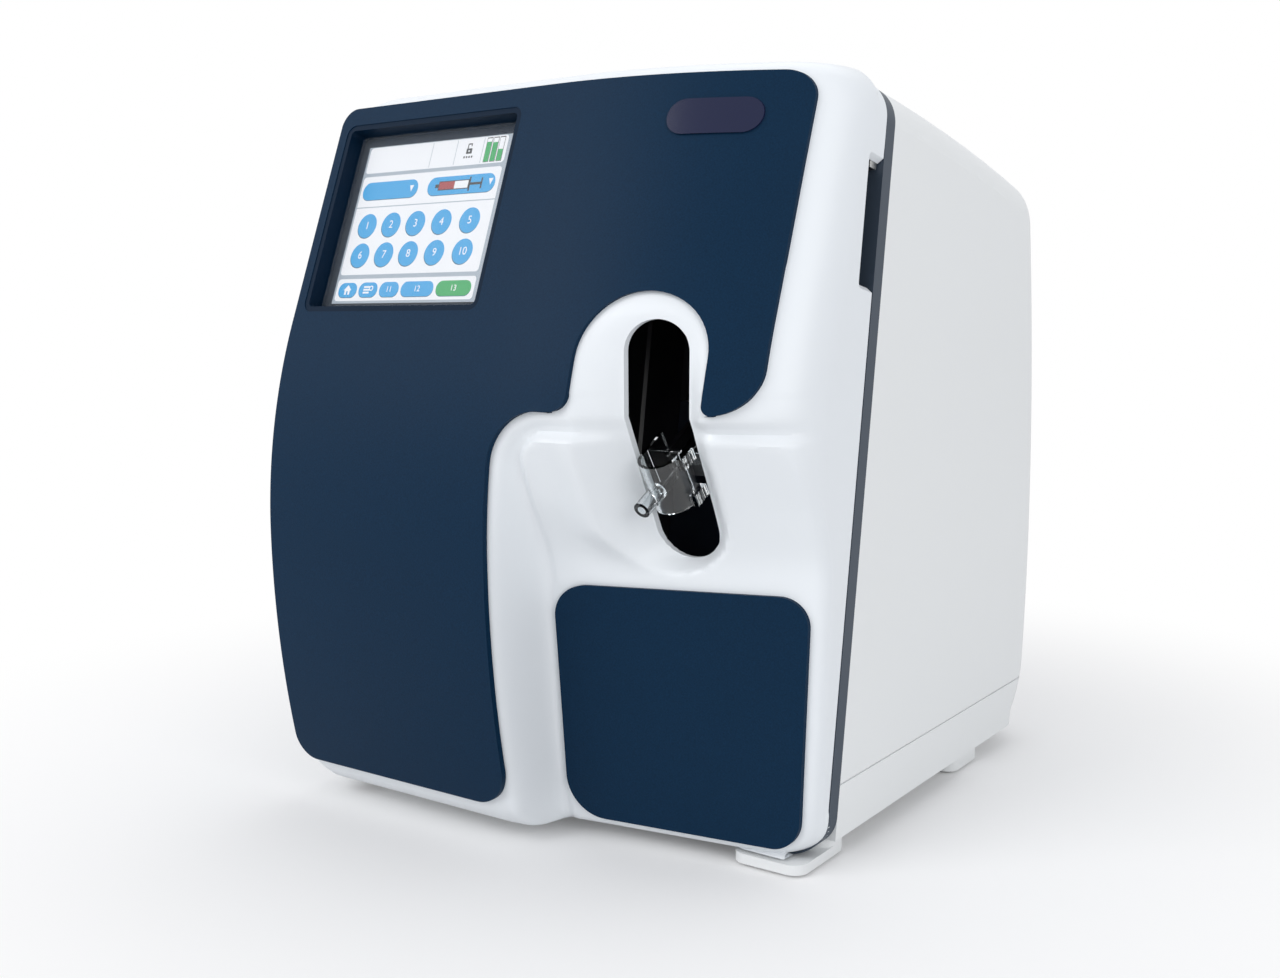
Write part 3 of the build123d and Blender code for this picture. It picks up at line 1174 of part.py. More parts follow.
ROCKER_AXLE_R = 1.5
ROCKER_Y = BACK_Y - 4.0
ROCKER_HALF = 6.5
with BuildPart() as switch_housing:
    with BuildSketch(Plane.XZ.offset(-BACK_Y)):
        with Locations((SWITCH_X, INLET_Z)):
            RectangleRounded(SWITCH_W + 4, SWITCH_H + 4, 2)
    extrude(amount=-1.5)
    with BuildSketch(Plane.XZ.offset(-BACK_Y)):
        with Locations((SWITCH_X, INLET_Z)):
            Rectangle(SWITCH_W - 2 * CLEAR, SWITCH_H - 2 * CLEAR)
    extrude(amount=18)
    with BuildSketch(Plane.XZ.offset(-BACK_Y - 1.5)):
        with Locations((SWITCH_X, INLET_Z)):
            Rectangle(2 * ROCKER_HALF + 2 * CLEAR, 23)
    extrude(amount=16.5, mode=Mode.SUBTRACT)
    with Locations(Location((SWITCH_X, ROCKER_Y, INLET_Z), (0, 90, 0))):
        Cylinder(ROCKER_AXLE_R + RUN, SWITCH_W - 2, mode=Mode.SUBTRACT)
write(switch_housing.part, "switch_housing")

with BuildPart() as switch_rocker:
    # Two tilted paddles that meet at a shallow V over the axle.
    rocker_side = Plane(origin=(SWITCH_X - ROCKER_HALF, ROCKER_Y, INLET_Z), x_dir=(0, 1, 0), z_dir=(1, 0, 0))
    with BuildSketch(rocker_side):
        with BuildLine():
            Polyline((-4, -4), (-4, 4), (0.3, 10.5), (3.6, 10.3), (2.6, 0), (5.5, -9.6), (2.6, -10.6),
                     close=True)
        make_face()
    extrude(amount=2 * ROCKER_HALF)
    with Locations(Location((SWITCH_X, ROCKER_Y, INLET_Z), (0, 90, 0))):
        Cylinder(ROCKER_AXLE_R, SWITCH_W - 2.4)
write(switch_rocker.part, "switch_rocker")

with BuildPart() as usb_ports:
    for x in USB_X:
        with BuildSketch(Plane.XZ.offset(-BACK_Y - 0.5)):
            with Locations((x, INLET_Z)):
                Rectangle(USB_W - 2 * CLEAR, USB_H - 2 * CLEAR)
        extrude(amount=14)
        with BuildSketch(Plane.XZ.offset(-BACK_Y - 0.5)):
            with Locations((x, INLET_Z)):
                Rectangle(12.4, 5.2)
        extrude(amount=11, mode=Mode.SUBTRACT)
        with BuildSketch(Plane.XZ.offset(-BACK_Y + 10.5)):
            with Locations((x, INLET_Z - 1.4)):
                Rectangle(11, 1.4)
        extrude(amount=-6)
write(usb_ports.part, "usb_ports")

with BuildPart() as lan_port:
    with BuildSketch(Plane.XZ.offset(-BACK_Y - 0.5)):
        with Locations((LAN_X, INLET_Z)):
            Rectangle(LAN_W - 2 * CLEAR, LAN_H - 2 * CLEAR)
    extrude(amount=18)
    with BuildSketch(Plane.XZ.offset(-BACK_Y - 0.5)):
        with Locations((LAN_X, INLET_Z)):
            Rectangle(12, 7)
        with Locations((LAN_X, INLET_Z - 4)):
            Rectangle(6.4, 3)
    extrude(amount=14, mode=Mode.SUBTRACT)
write(lan_port.part, "lan_port")
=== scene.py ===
import math

import bmesh
import bpy
from mathutils import Matrix, Vector


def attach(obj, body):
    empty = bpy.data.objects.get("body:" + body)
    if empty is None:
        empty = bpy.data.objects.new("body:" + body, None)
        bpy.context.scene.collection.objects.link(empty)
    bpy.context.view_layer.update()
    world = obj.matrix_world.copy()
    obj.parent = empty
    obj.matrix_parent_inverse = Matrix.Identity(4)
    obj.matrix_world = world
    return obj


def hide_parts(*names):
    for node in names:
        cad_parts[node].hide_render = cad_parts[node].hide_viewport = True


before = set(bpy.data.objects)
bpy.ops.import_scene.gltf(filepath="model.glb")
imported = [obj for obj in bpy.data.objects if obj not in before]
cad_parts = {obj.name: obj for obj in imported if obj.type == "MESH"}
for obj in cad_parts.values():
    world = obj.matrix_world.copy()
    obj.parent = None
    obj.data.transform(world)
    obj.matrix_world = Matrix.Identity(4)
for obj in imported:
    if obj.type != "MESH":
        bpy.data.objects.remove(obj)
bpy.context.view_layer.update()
mm = 0.001
print("frame loaded:", len(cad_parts), "nodes")


def smoothMax(a, b, soft):
    return 0.5 * (a + b + math.sqrt((a - b) ** 2 + soft * soft))


def softRamp(s, soft):  # 0 below zero, s above, rounded between
    return 0.5 * (s + math.sqrt(s * s + soft * soft))


def ease(t):
    t = min(1.0, max(0.0, t))
    return t * t * (3 - 2 * t)


def blend(a, b, t):
    return a + (b - a) * t


def newObject(name, bm, materials, body, replaced=()):
    mesh = bpy.data.meshes.new(name)
    bmesh.ops.recalc_face_normals(bm, faces=bm.faces)
    bm.to_mesh(mesh)
    bm.free()
    piece = bpy.data.objects.new(name, mesh)
    bpy.context.scene.collection.objects.link(piece)
    for material in materials:
        mesh.materials.append(material)
    if body:
        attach(piece, body)
    if replaced:
        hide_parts(*replaced)
    return piece


def bakeModifiers(piece, angle=35):
    graph = bpy.context.evaluated_depsgraph_get()
    baked = bpy.data.meshes.new_from_object(piece.evaluated_get(graph))
    piece.modifiers.clear()
    old = piece.data
    piece.data = baked
    bpy.data.meshes.remove(old)
    baked.polygons.foreach_set("use_smooth", [True] * len(baked.polygons))
    baked.set_sharp_from_angle(angle=math.radians(angle))


def cutWith(piece, cutters):
    for index, cutter in enumerate(cutters):
        change = piece.modifiers.new(f"cut{index}", "BOOLEAN")
        change.operation = "DIFFERENCE"
        change.solver = "MANIFOLD"
        change.object = cutter
    bakeModifiers(piece)
    for cutter in cutters:
        mesh = cutter.data
        bpy.data.objects.remove(cutter)
        bpy.data.meshes.remove(mesh)


def roundedOutline(corners, steps=10):  # corners are (x, z, radius)
    points = []
    count = len(corners)
    for i, (x, z, radius) in enumerate(corners):
        here = Vector((x, z))
        before = (Vector(corners[i - 1][:2]) - here).normalized()
        after = (Vector(corners[(i + 1) % count][:2]) - here).normalized()
        half = before.angle(after) / 2
        reach = radius / math.tan(half)
        centre = here + (before + after).normalized() * (radius / math.sin(half))
        first = here + before * reach - centre
        last = here + after * reach - centre
        turn = first.angle_signed(last)
        for k in range(steps + 1):
            a = -turn * k / steps
            points.append(centre + Vector((first.x * math.cos(a) - first.y * math.sin(a),
                                           first.x * math.sin(a) + first.y * math.cos(a))))
    return points


# Closed cutter over an outline; place turns (u, v, depth) into the scene.
def prism(name, points, place, depth):
    bm = bmesh.new()
    face = bm.faces.new([bm.verts.new((p[0] * mm, p[1] * mm, 0)) for p in points])
    pulled = bmesh.ops.extrude_face_region(bm, geom=[face])
    moved = [v for v in pulled["geom"] if isinstance(v, bmesh.types.BMVert)]
    bmesh.ops.translate(bm, verts=moved, vec=(0, 0, depth * mm))
    bmesh.ops.transform(bm, matrix=place, verts=bm.verts)
    return newObject(name, bm, [], None)


def rectangle(halfWidth, halfHeight, radius):
    return [(-halfWidth, -halfHeight, radius), (halfWidth, -halfHeight, radius),
            (halfWidth, halfHeight, radius), (-halfWidth, halfHeight, radius)]


def addGroup(name, inputs, outputs):
    group = bpy.data.node_groups.new(name, "ShaderNodeTree")
    for label, kind, value in inputs:
        socket = group.interface.new_socket(name=label, in_out="INPUT", socket_type=kind)
        socket.default_value = value
    for label, kind in outputs:
        group.interface.new_socket(name=label, in_out="OUTPUT", socket_type=kind)
    return group, group.nodes.new("NodeGroupInput"), group.nodes.new("NodeGroupOutput")


def mathNode(nodes, links, operation, *inputs):  # inputs are sockets or plain numbers
    node = nodes.new("ShaderNodeMath")
    node.operation = operation
    for socket, given in zip(node.inputs, inputs):
        if isinstance(given, (int, float)):
            socket.default_value = given
        else:
            links.new(given, socket)
    return node.outputs[0]


# Moulded or painted grain: a fine height, a colour that drifts a little, a roughness that varies.
def makeGrain():
    group, given, result = addGroup(
        "surfaceGrain",
        [("Colour", "NodeSocketColor", (0.8, 0.8, 0.8, 1)), ("Grain Size", "NodeSocketFloat", 900.0),
         ("Drift", "NodeSocketFloat", 0.03), ("Roughness", "NodeSocketFloat", 0.4),
         ("Roughness Spread", "NodeSocketFloat", 0.08), ("Speckle", "NodeSocketFloat", 0.0)],
        [("Colour", "NodeSocketColor"), ("Roughness", "NodeSocketFloat"), ("Height", "NodeSocketFloat")])
    nodes, links = group.nodes, group.links
    place = nodes.new("ShaderNodeTexCoord")
    fine = nodes.new("ShaderNodeTexNoise")
    fine.inputs["Detail"].default_value = 3.0
    links.new(place.outputs["Object"], fine.inputs["Vector"])
    links.new(given.outputs["Grain Size"], fine.inputs["Scale"])
    broad = nodes.new("ShaderNodeTexNoise")
    broad.inputs["Scale"].default_value = 9.0
    broad.inputs["Detail"].default_value = 4.0
    links.new(place.outputs["Object"], broad.inputs["Vector"])

    centred = mathNode(nodes, links, "SUBTRACT", broad.outputs["Fac"], 0.5)
    amount = mathNode(nodes, links, "MULTIPLY", centred, given.outputs["Drift"])
    fineCentred = mathNode(nodes, links, "SUBTRACT", fine.outputs["Fac"], 0.5)
    speckle = mathNode(nodes, links, "MULTIPLY_ADD", fineCentred, given.outputs["Speckle"], amount)
    tint = nodes.new("ShaderNodeVectorMath")
    tint.operation = "SCALE"
    links.new(given.outputs["Colour"], tint.inputs[0])
    links.new(mathNode(nodes, links, "ADD", speckle, 1.0), tint.inputs["Scale"])
    links.new(tint.outputs[0], result.inputs["Colour"])

    rough = mathNode(nodes, links, "MULTIPLY_ADD", centred, given.outputs["Roughness Spread"],
                     given.outputs["Roughness"])
    links.new(rough, result.inputs["Roughness"])
    links.new(fine.outputs["Fac"], result.inputs["Height"])
    return group


grainGroup = makeGrain()


def addGrain(material, values, bump, bumpDepth):  # the grain group and its relief, wired to the shader
    nodes, links = material.node_tree.nodes, material.node_tree.links
    shader = nodes["Principled BSDF"]
    grain = nodes.new("ShaderNodeGroup")
    grain.node_tree = grainGroup
    for label, value in values.items():
        grain.inputs[label].default_value = value
    links.new(grain.outputs["Roughness"], shader.inputs["Roughness"])
    relief = nodes.new("ShaderNodeBump")
    relief.inputs["Strength"].default_value = bump
    relief.inputs["Distance"].default_value = bumpDepth * mm
    links.new(grain.outputs["Height"], relief.inputs["Height"])
    links.new(relief.outputs["Normal"], shader.inputs["Normal"])
    return grain


def makeMaterial(name, colour, roughness=0.4, metallic=0.0, grainSize=900.0, bump=0.15, bumpDepth=0.05,
                 drift=0.06, spread=0.1, speckle=0.0, coat=0.0, coatRoughness=0.1, specular=0.5, alpha=1.0):
    material = bpy.data.materials.new(name)
    material.use_nodes = True
    shader = material.node_tree.nodes["Principled BSDF"]
    shader.inputs["Metallic"].default_value = metallic
    shader.inputs["Alpha"].default_value = alpha
    shader.inputs["Specular IOR Level"].default_value = specular
    shader.inputs["Coat Weight"].default_value = coat
    shader.inputs["Coat Roughness"].default_value = coatRoughness
    grain = addGrain(material, {
        "Colour": (*colour, 1), "Grain Size": grainSize, "Drift": drift, "Roughness": roughness,
        "Roughness Spread": spread, "Speckle": speckle}, bump, bumpDepth)
    material.node_tree.links.new(grain.outputs["Colour"], shader.inputs["Base Color"])
    return material


def makeClear(name, colour, roughness, ior=1.49):
    material = bpy.data.materials.new(name)
    material.use_nodes = True
    shader = material.node_tree.nodes["Principled BSDF"]
    shader.inputs["Base Color"].default_value = (*colour, 1)
    shader.inputs["Transmission Weight"].default_value = 1.0
    shader.inputs["IOR"].default_value = ior
    addGrain(material, {"Grain Size": 300.0, "Roughness": roughness, "Roughness Spread": roughness}, 0.05, 0.02)
    return material


def makeGlow(name, colour, strength):
    material = makeMaterial(name, colour, roughness=0.3, bump=0.02, drift=0.02)
    nodes, links = material.node_tree.nodes, material.node_tree.links
    shader = nodes["Principled BSDF"]
    grain = next(n for n in nodes if n.type == "GROUP")
    links.new(grain.outputs["Colour"], shader.inputs["Emission Color"])
    dim = nodes.new("ShaderNodeVectorMath")
    dim.operation = "SCALE"
    dim.inputs["Scale"].default_value = 0.12  # little of it is left to reflect
    links.new(grain.outputs["Colour"], dim.inputs[0])
    links.new(dim.outputs[0], shader.inputs["Base Color"])
    shader.inputs["Emission Strength"].default_value = strength
    return material


finish = {
    "doorWhite": makeMaterial("doorWhite", (0.79, 0.82, 0.845), 0.38, grainSize=1400, bump=0.06, drift=0.02,
                              specular=0.4),
    "casingWhite": makeMaterial("casingWhite", (0.80, 0.815, 0.815), 0.5, grainSize=1100, bump=0.22,
                                drift=0.025),
    "panelBlue": makeMaterial("panelBlue", (0.003, 0.0205, 0.050), 0.46, grainSize=1300, bump=0.6,
                              bumpDepth=0.09,
                              drift=0.15, speckle=0.7, spread=0.1, specular=0.08),
    # Painted highlight: a lighter copy of the panel blue, laid on the panel bevels where light catches them.
    "panelEdgeHighlight": makeMaterial("panelEdgeHighlight", (0.012, 0.042, 0.095), 0.4, grainSize=1300, bump=0.5,
                              bumpDepth=0.07,
                              drift=0.15, speckle=0.4, specular=0.35),
    "badgeBlue": makeMaterial("badgeBlue", (0.006, 0.010, 0.042), 0.2, grainSize=900, bump=0.04,
                              specular=0.3),
    # Painted highlight: a lighter copy of the badge blue for the badge's raised rim.
    "badgeRimHighlight": makeMaterial("badgeRimHighlight", (0.03, 0.045, 0.12), 0.25, grainSize=900, bump=0.04, specular=0.5),
    "trimSlate": makeMaterial("trimSlate", (0.040, 0.056, 0.080), 0.42, grainSize=1100, bump=0.12,
                              specular=0.3),
    "bezelBlue": makeMaterial("bezelBlue", (0.002, 0.012, 0.030), 0.45, grainSize=1300, bump=0.2,
                              specular=0.07),
    "fasciaBlue": makeMaterial("fasciaBlue", (0.012, 0.018, 0.035), 0.42, grainSize=1000, bump=0.2),
    "plasticBlack": makeMaterial("plasticBlack", (0.012, 0.012, 0.014), 0.32, grainSize=1000, bump=0.2),
    "plasticGrey": makeMaterial("plasticGrey", (0.50, 0.51, 0.53), 0.4, grainSize=1000, bump=0.15),
    "circuitGreen": makeMaterial("circuitGreen", (0.015, 0.13, 0.05), 0.35, grainSize=400, bump=0.3,
                                 drift=0.2),
    "sheetSteel": makeMaterial("sheetSteel", (0.60, 0.61, 0.62), 0.34, 1.0, grainSize=600, bump=0.1),
    "brightSteel": makeMaterial("brightSteel", (0.74, 0.75, 0.77), 0.16, 1.0, grainSize=800, bump=0.05),
    "zincSteel": makeMaterial("zincSteel", (0.66, 0.67, 0.66), 0.38, 1.0, grainSize=500, bump=0.12),
    "backPaint": makeMaterial("backPaint", (0.62, 0.63, 0.65), 0.5, grainSize=900, bump=0.5, speckle=0.1),
    "rubberBlack": makeMaterial("rubberBlack", (0.02, 0.02, 0.02), 0.75, grainSize=700, bump=0.3),
    "tubeCream": makeMaterial("tubeCream", (0.62, 0.58, 0.46), 0.45, grainSize=500, bump=0.1),
    "rollerWhite": makeMaterial("rollerWhite", (0.78, 0.78, 0.75), 0.35, grainSize=800, bump=0.1),
    "cardWhite": makeMaterial("cardWhite", (0.76, 0.77, 0.75), 0.4, grainSize=900, bump=0.15),
    "clearPlastic": makeClear("clearPlastic", (0.93, 0.96, 0.97), 0.03),
    "screenGlass": makeMaterial("screenGlass", (0.7, 0.75, 0.8), 0.06, grainSize=300, bump=0.02, alpha=0.05),
}

nodeFinish = {
    "casingWhite": ["rear_casing", "base_pan"],
    "trimSlate": ["front_frame"],
    "fasciaBlue": ["fascia", "cartridge_bay"],
    "plasticBlack": ["reagent_cartridge", "fan_housing", "fan_rotor", "power_inlet", "switch_housing",
                     "switch_rocker", "sampler_motor", "pump_motor", "pump_rotor", "probe_carriage",
                     "lcd_module", "sampler_bracket", "sampler_arm"],
    "plasticGrey": ["pump_housing", "sensor_holder"],
    "circuitGreen": ["mainboard", "display_board"],
    "sheetSteel": ["chassis_plate", "bulkhead", "power_supply"],
    "brightSteel": ["sampler_shaft", "hinge_pins", "latch_magnets", "clamp_pin", "probe", "pump_shaft"],
    "zincSteel": ["hinge_brackets", "hinge_lugs", "strike_plates", "base_screws", "usb_ports", "lan_port",
                  "board_spacers"],
    "backPaint": ["back_panel"],
    "rubberBlack": ["rubber_feet"],
    "tubeCream": ["pump_tube"],
    "rollerWhite": ["pump_roller_1", "pump_roller_2", "pump_roller_3"],
    "cardWhite": ["sensor_card"],
    "clearPlastic": ["sample_guard", "clamp_lever"],
    "screenGlass": ["display_glass"],
    "bezelBlue": ["display_bezel"],
}
for label, names in nodeFinish.items():
    for node in names:
        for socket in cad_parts[node].material_slots:
            socket.material = finish[label]
print("materials made:", len(finish))


# The door front: the shape that the shell and its panels share.
door = {
    "half": 152.5, "top": 388.0, "bottom": 8.0, "wall": 3.0,
    "apexY": -183.0, "apexZ": 152.0, "upperR": 330.0, "lowerR": 600.0, "lean": 20.0,
    "flatX": 5.0, "sweepR": 237.5, "leftR": 22.0, "rightR": 32.0,
    "sideR": 22.0, "topR": 9.0, "bottomR": 16.0, "panelLift": 2.5,
    "partingY": -103.5, "tilt": math.radians(8.8), "heelY": -115.98, "heelR": 16.0,
    "roofBend": 0.000215, "roofY": -196.0, "roofStart": 0.95, "roofFrom": -130.0,
}


def frontLine(z):
    d = door
    leanRad = math.radians(d["lean"])
    leanFrom = d["apexZ"] + d["upperR"] * math.sin(leanRad)
    if z < d["apexZ"]:
        return d["apexY"] + d["lowerR"] - math.sqrt(d["lowerR"] ** 2 - (z - d["apexZ"]) ** 2)
    if z < leanFrom:
        return d["apexY"] + d["upperR"] - math.sqrt(d["upperR"] ** 2 - (z - d["apexZ"]) ** 2)
    return d["apexY"] + d["upperR"] * (1 - math.cos(leanRad)) + (z - leanFrom) * math.tan(leanRad)


def sweepBack(x):
    reach = max(0.0, x - door["flatX"])
    return door["sweepR"] - math.sqrt(door["sweepR"] ** 2 - reach ** 2)


def panelFace(x, z):  # front of the raised panel
    return frontLine(z) + sweepBack(x)


recess = {
    "floorY": -123.0, "pivotX": 85.0, "turnLow": 8.0, "turnHigh": 16.5, "kneeZ": 150.0, "slope": 0.47,
    "turnFrom": 13.0, "turnOver": 122.0, "turnMost": 1.35, "kneeSoft": 8.0,
    "footX": 14.5, "footZ": 217.0, "cornerR": 21.0, "steep": 9.0, "footSoft": 1.8, "rimSoft": 4.0,
    "crestSoft": 15.0, "crestFrom": 9.0, "crestOver": 6.0, "reach": 14.0, "sideRound": 6.0, "lowRound": 5.0,
    "ridge": 7.0, "ridgeWidth": 13.0, "ridgeZ": 140.0, "ridgeRise": 26.0, "ridgeX": 60.0, "ridgeFade": 34.0,
}
funnel = {
    "x": 81.0, "r": 30.0, "low": 172.5, "high": 248.0, "depth": 11.0, "turnZ": 220.0,
    "slotX": 85.0, "slotR": 15.0, "slotLow": 165.0, "slotHigh": 251.0, "easing": 0.06,
}


def recessFloor(x, z):
    r = recess
    part = min(r["turnMost"], max(0.0, (z - r["turnFrom"]) / r["turnOver"]))
    turn = math.radians(blend(r["turnLow"], r["turnHigh"], part))
    rise = r["slope"] * softRamp(z - r["kneeZ"], r["kneeSoft"])
    return r["floorY"] + (x - r["pivotX"]) * math.tan(turn) - rise


def stadiumDistance(x, z, centreX, low, high):
    return math.hypot(x - centreX, z - min(high, max(low, z)))


def quarterRound(into, radius):  # how far a rounded edge has fallen back
    return radius - math.sqrt(max(0.0, radius * radius - into * into))


# White surface of the door at (x, z); plain is the swept front there without any recess.
def doorFace(x, z, plain):
    r, f = recess, funnel
    out = stadiumDistance(x, z, f["x"], f["low"], f["high"]) - f["r"]
    floor = recessFloor(x, z)
    ridge = r["ridge"] * math.exp(-(max(0.0, out) / r["ridgeWidth"]) ** 2)
    ridge *= ease((z - r["ridgeZ"]) / r["ridgeRise"]) * (1 - ease((x - r["ridgeX"]) / r["ridgeFade"]))
    qx, qz = r["footX"] - x + r["cornerR"], z - r["footZ"] + r["cornerR"]
    away = math.hypot(max(qx, 0), max(qz, 0)) + min(max(qx, qz), 0) - r["cornerR"]
    cut = floor - ridge - r["steep"] * softRamp(away, r["footSoft"])
    cut += quarterRound(max(0.0, x - (door["half"] - r["sideRound"])), r["sideRound"])
    cut += quarterRound(max(0.0, door["bottom"] + r["lowRound"] - z), r["lowRound"])
    soft = blend(r["rimSoft"], r["crestSoft"], ease((away + r["crestFrom"]) / r["crestOver"]))
    face = smoothMax(plain, cut, soft) if away < r["reach"] else plain
    if out < 0:
        beyond = max(0.0, stadiumDistance(x, z, f["slotX"], f["slotLow"], f["slotHigh"]) - f["slotR"])
        part = -out / (beyond - out + 1e-6)
        part = part * part / (part + f["easing"]) * (1 + f["easing"])
        bed = recessFloor(x, min(z, f["turnZ"])) + f["depth"]
        if bed > face:
            face = blend(face, bed, part)
    return face


def rearY(z):
    d = door
    parting = d["partingY"] + z * math.tan(d["tilt"])
    below = d["bottom"] + d["heelR"] - z
    if below <= 0:
        return parting
    return min(parting, d["heelY"] + math.sqrt(max(0.0, d["heelR"] ** 2 - below ** 2)))


def roofDrop(y):  # how far the roof is below the door's top at y
    d = door
    return max(0.0, d["roofBend"] * (y - d["roofY"]) ** 2 - d["roofStart"]) if y > d["roofFrom"] else 0.0


def spread(first, last, step):
    count = max(1, round(abs(last - first) / step))
    return [first + (last - first) * k / count for k in range(count)]


# Spans are (from, to, step): rows go up the door, columns from left to right.
sheet = {
    "rowSpans": [(24.0, 140.0, 3.0), (140.0, 285.0, 1.7), (285.0, 366.0, 3.5), (366.0, 379.0, 1.6)],
    "columnSpans": [(-130.5, 4.0, 4.5), (4.0, 22.0, 0.6), (22.0, 112.0, 1.7)],
    "rightSteps": 14, "wallSteps": 6, "joinInset": 2.5, "topZ": 340, "evenZ": 290, "evenOver": 50,
    "widenX": 60, "widenOver": 50, "roofZ": 330, "roofOver": 30, "leastWall": 1.0,
    "weld": 0.02,
}


# Front grid of the shell, its walls carried back to the parting plane, and the bottom with its heel.
def doorSheet():
    d, k = door, sheet
    lowRows = [(d["bottom"] + d["bottomR"] * (1 - math.sin(a)), d["bottomR"] * (1 - math.cos(a)))
               for a in [math.radians(t) for t in range(90, 0, -10)]]
    rows = lowRows + [(z, 0.0) for span in k["rowSpans"] for z in spread(*span)]
    rows += [(d["top"] - d["topR"] * (1 - math.sin(a)), d["topR"] * (1 - math.cos(a)))
             for a in [math.radians(t) for t in range(0, 91, 10)]]
    leftTurns = [math.radians(t) for t in range(90, 0, -9)]
    middle = [x for span in k["columnSpans"] for x in spread(*span)]
    firstX, lastX = k["columnSpans"][0][0], k["columnSpans"][-1][1]
    columns = len(leftTurns) + len(middle) + k["rightSteps"] + 1
    bm = bmesh.new()
    bmesh.ops.create_grid(bm, x_segments=columns - 1, y_segments=len(rows) - 1, size=1)
    bm.verts.ensure_lookup_table()
    for index, vert in enumerate(bm.verts):
        row, column = divmod(index, columns)
        z, back = rows[row]
        into = max(0.0, z - (d["top"] - d["sideR"]))
        half = d["half"] - (d["sideR"] - math.sqrt(d["sideR"] ** 2 - into ** 2))
        under = max(0.0, d["bottom"] + d["bottomR"] - z)
        half -= d["bottomR"] - math.sqrt(max(0.0, d["bottomR"] ** 2 - under ** 2))
        face = frontLine(z) + d["panelLift"] + back
        rightX = half - d["rightR"]
        rightY = face + d["sweepR"] - math.sqrt((d["sweepR"] - d["rightR"]) ** 2 - (rightX - d["flatX"]) ** 2)
        swept = math.asin((rightX - d["flatX"]) / (d["sweepR"] - d["rightR"]))
        if column < len(leftTurns):
            turn = leftTurns[column]
            x = -half + d["leftR"] * (1 - math.sin(turn))
            plain = face + d["leftR"] * (1 - math.cos(turn))
        elif column < len(leftTurns) + len(middle):
            joinX = rightX + d["rightR"] * math.sin(swept)
            wide = middle[column - len(leftTurns)]
            share = (wide - firstX) / (lastX - firstX)
            x = even = -half + d["leftR"] + share * (joinX - k["joinInset"] + half - d["leftR"])
            if z <= k["topZ"]:
                x = blend(wide, even, ease((z - k["evenZ"]) / k["evenOver"]))
            if z <= k["evenZ"] and wide > k["widenX"]:
                x = blend(x, firstX + share * (joinX - k["joinInset"] - firstX),
                          ease((wide - k["widenX"]) / k["widenOver"]))
            plain = face + sweepBack(x)
        else:
            share = (column - len(leftTurns) - len(middle)) / k["rightSteps"]
            phi = blend(swept, math.pi / 2, share)
            x = rightX + d["rightR"] * math.sin(phi)
            plain = rightY - d["rightR"] * math.cos(phi)
        vert.co = (x, doorFace(x, z, plain), z)
    border = [e for e in bm.edges if e.is_boundary]
    ring = {v: v.co.copy() for e in border for v in e.verts}
    origin = dict(ring)
    for step in range(1, k["wallSteps"] + 1):
        pulled = bmesh.ops.extrude_edge_only(bm, edges=border)["geom"]
        fresh = [v for v in pulled if isinstance(v, bmesh.types.BMVert)]
        border = [e for e in pulled if isinstance(e, bmesh.types.BMEdge) and e.is_boundary]
        lookup = {tuple(round(c, 5) for c in v.co): v for v in ring}
        nextRing = {}
        for v in fresh:
            start = origin[lookup[tuple(round(c, 5) for c in v.co)]]
            share = step / k["wallSteps"]
            y = blend(start.y, max(rearY(start.z), start.y + k["leastWall"]), share)
            z = start.z - roofDrop(y) * ease((start.z - k["roofZ"]) / k["roofOver"])
            nextRing[v] = (start, Vector((start.x, y, z)))
        origin = {}
        for v, (start, place) in nextRing.items():
            v.co = place
            origin[v] = start
        ring = {v: v.co.copy() for v in nextRing}
    floorEdges = [e for e in border if all(v.co.z < d["bottom"] + 0.05 for v in e.verts)]
    for z, _ in lowRows[1:]:  # heel up to the parting plane
        pulled = bmesh.ops.extrude_edge_only(bm, edges=floorEdges)["geom"]
        floorEdges = [e for e in pulled if isinstance(e, bmesh.types.BMEdge) and e.is_boundary
                      and abs(e.verts[0].co.x - e.verts[1].co.x) > 1e-6]
        for v in [v for v in pulled if isinstance(v, bmesh.types.BMVert)]:
            v.co.z = z
            v.co.y = rearY(z)
    for v in bm.verts:
        v.co *= mm
    bmesh.ops.remove_doubles(bm, verts=bm.verts, dist=k["weld"] * mm)
    return bm


display = {
    "x": -76.5, "z": 321.7, "halfWidth": 64, "halfHeight": 54.5, "corner": 6, "cutFrom": -30, "cutDepth": 50,
}


# Matrix of the display's plane, a distance out of it: u to the right, v up the slope.
def displayPlace(out):
    leanRad = math.radians(door["lean"])
    normal = Vector((0, -math.cos(leanRad), math.sin(leanRad)))
    up = Vector((0, math.sin(leanRad), math.cos(leanRad)))
    place = Vector((display["x"], frontLine(display["z"]), display["z"])) + normal * out
    return Matrix(((1, 0, 0, place.x * mm), (0, up.y, normal.y, place.y * mm),
                   (0, up.z, normal.z, place.z * mm), (0, 0, 0, 1)))


def facing(y):  # matrix for a sketch seen from the front, its depth going back
    return Matrix(((1, 0, 0, 0), (0, 0, 1, y * mm), (0, 1, 0, 0), (0, 0, 0, 1)))


displayCut = rectangle(display["halfWidth"], display["halfHeight"], display["corner"])

shell = newObject("doorShell", doorSheet(), [finish["doorWhite"]], "door", ["door_shell"])
thick = shell.modifiers.new("wall", "SOLIDIFY")
thick.thickness = door["wall"] * mm
thick.offset = -1
thick.use_quality_normals = True
bakeModifiers(shell)
slotSteps = 48
slotPoints = []
for start, centreZ in ((0, funnel["slotHigh"]), (1, funnel["slotLow"])):  # the round top, then the foot
    for k in range(slotSteps + 1):
        turn = math.pi * (start + k / slotSteps)
        slotPoints.append((funnel["slotX"] + funnel["slotR"] * math.cos(turn),
                           centreZ + funnel["slotR"] * math.sin(turn)))
tilt = door["tilt"]
notchPlace = Matrix(((1, 0, 0, 0), (0, math.sin(tilt), -math.cos(tilt), door["partingY"] * mm),
                     (0, math.cos(tilt), math.sin(tilt), 0), (0, 0, 0, 1)))
notch = {"inX": 146.5, "outX": 158.5, "low": 284.4, "high": 345.1, "r": 2.0, "under": 2, "depth": 14}
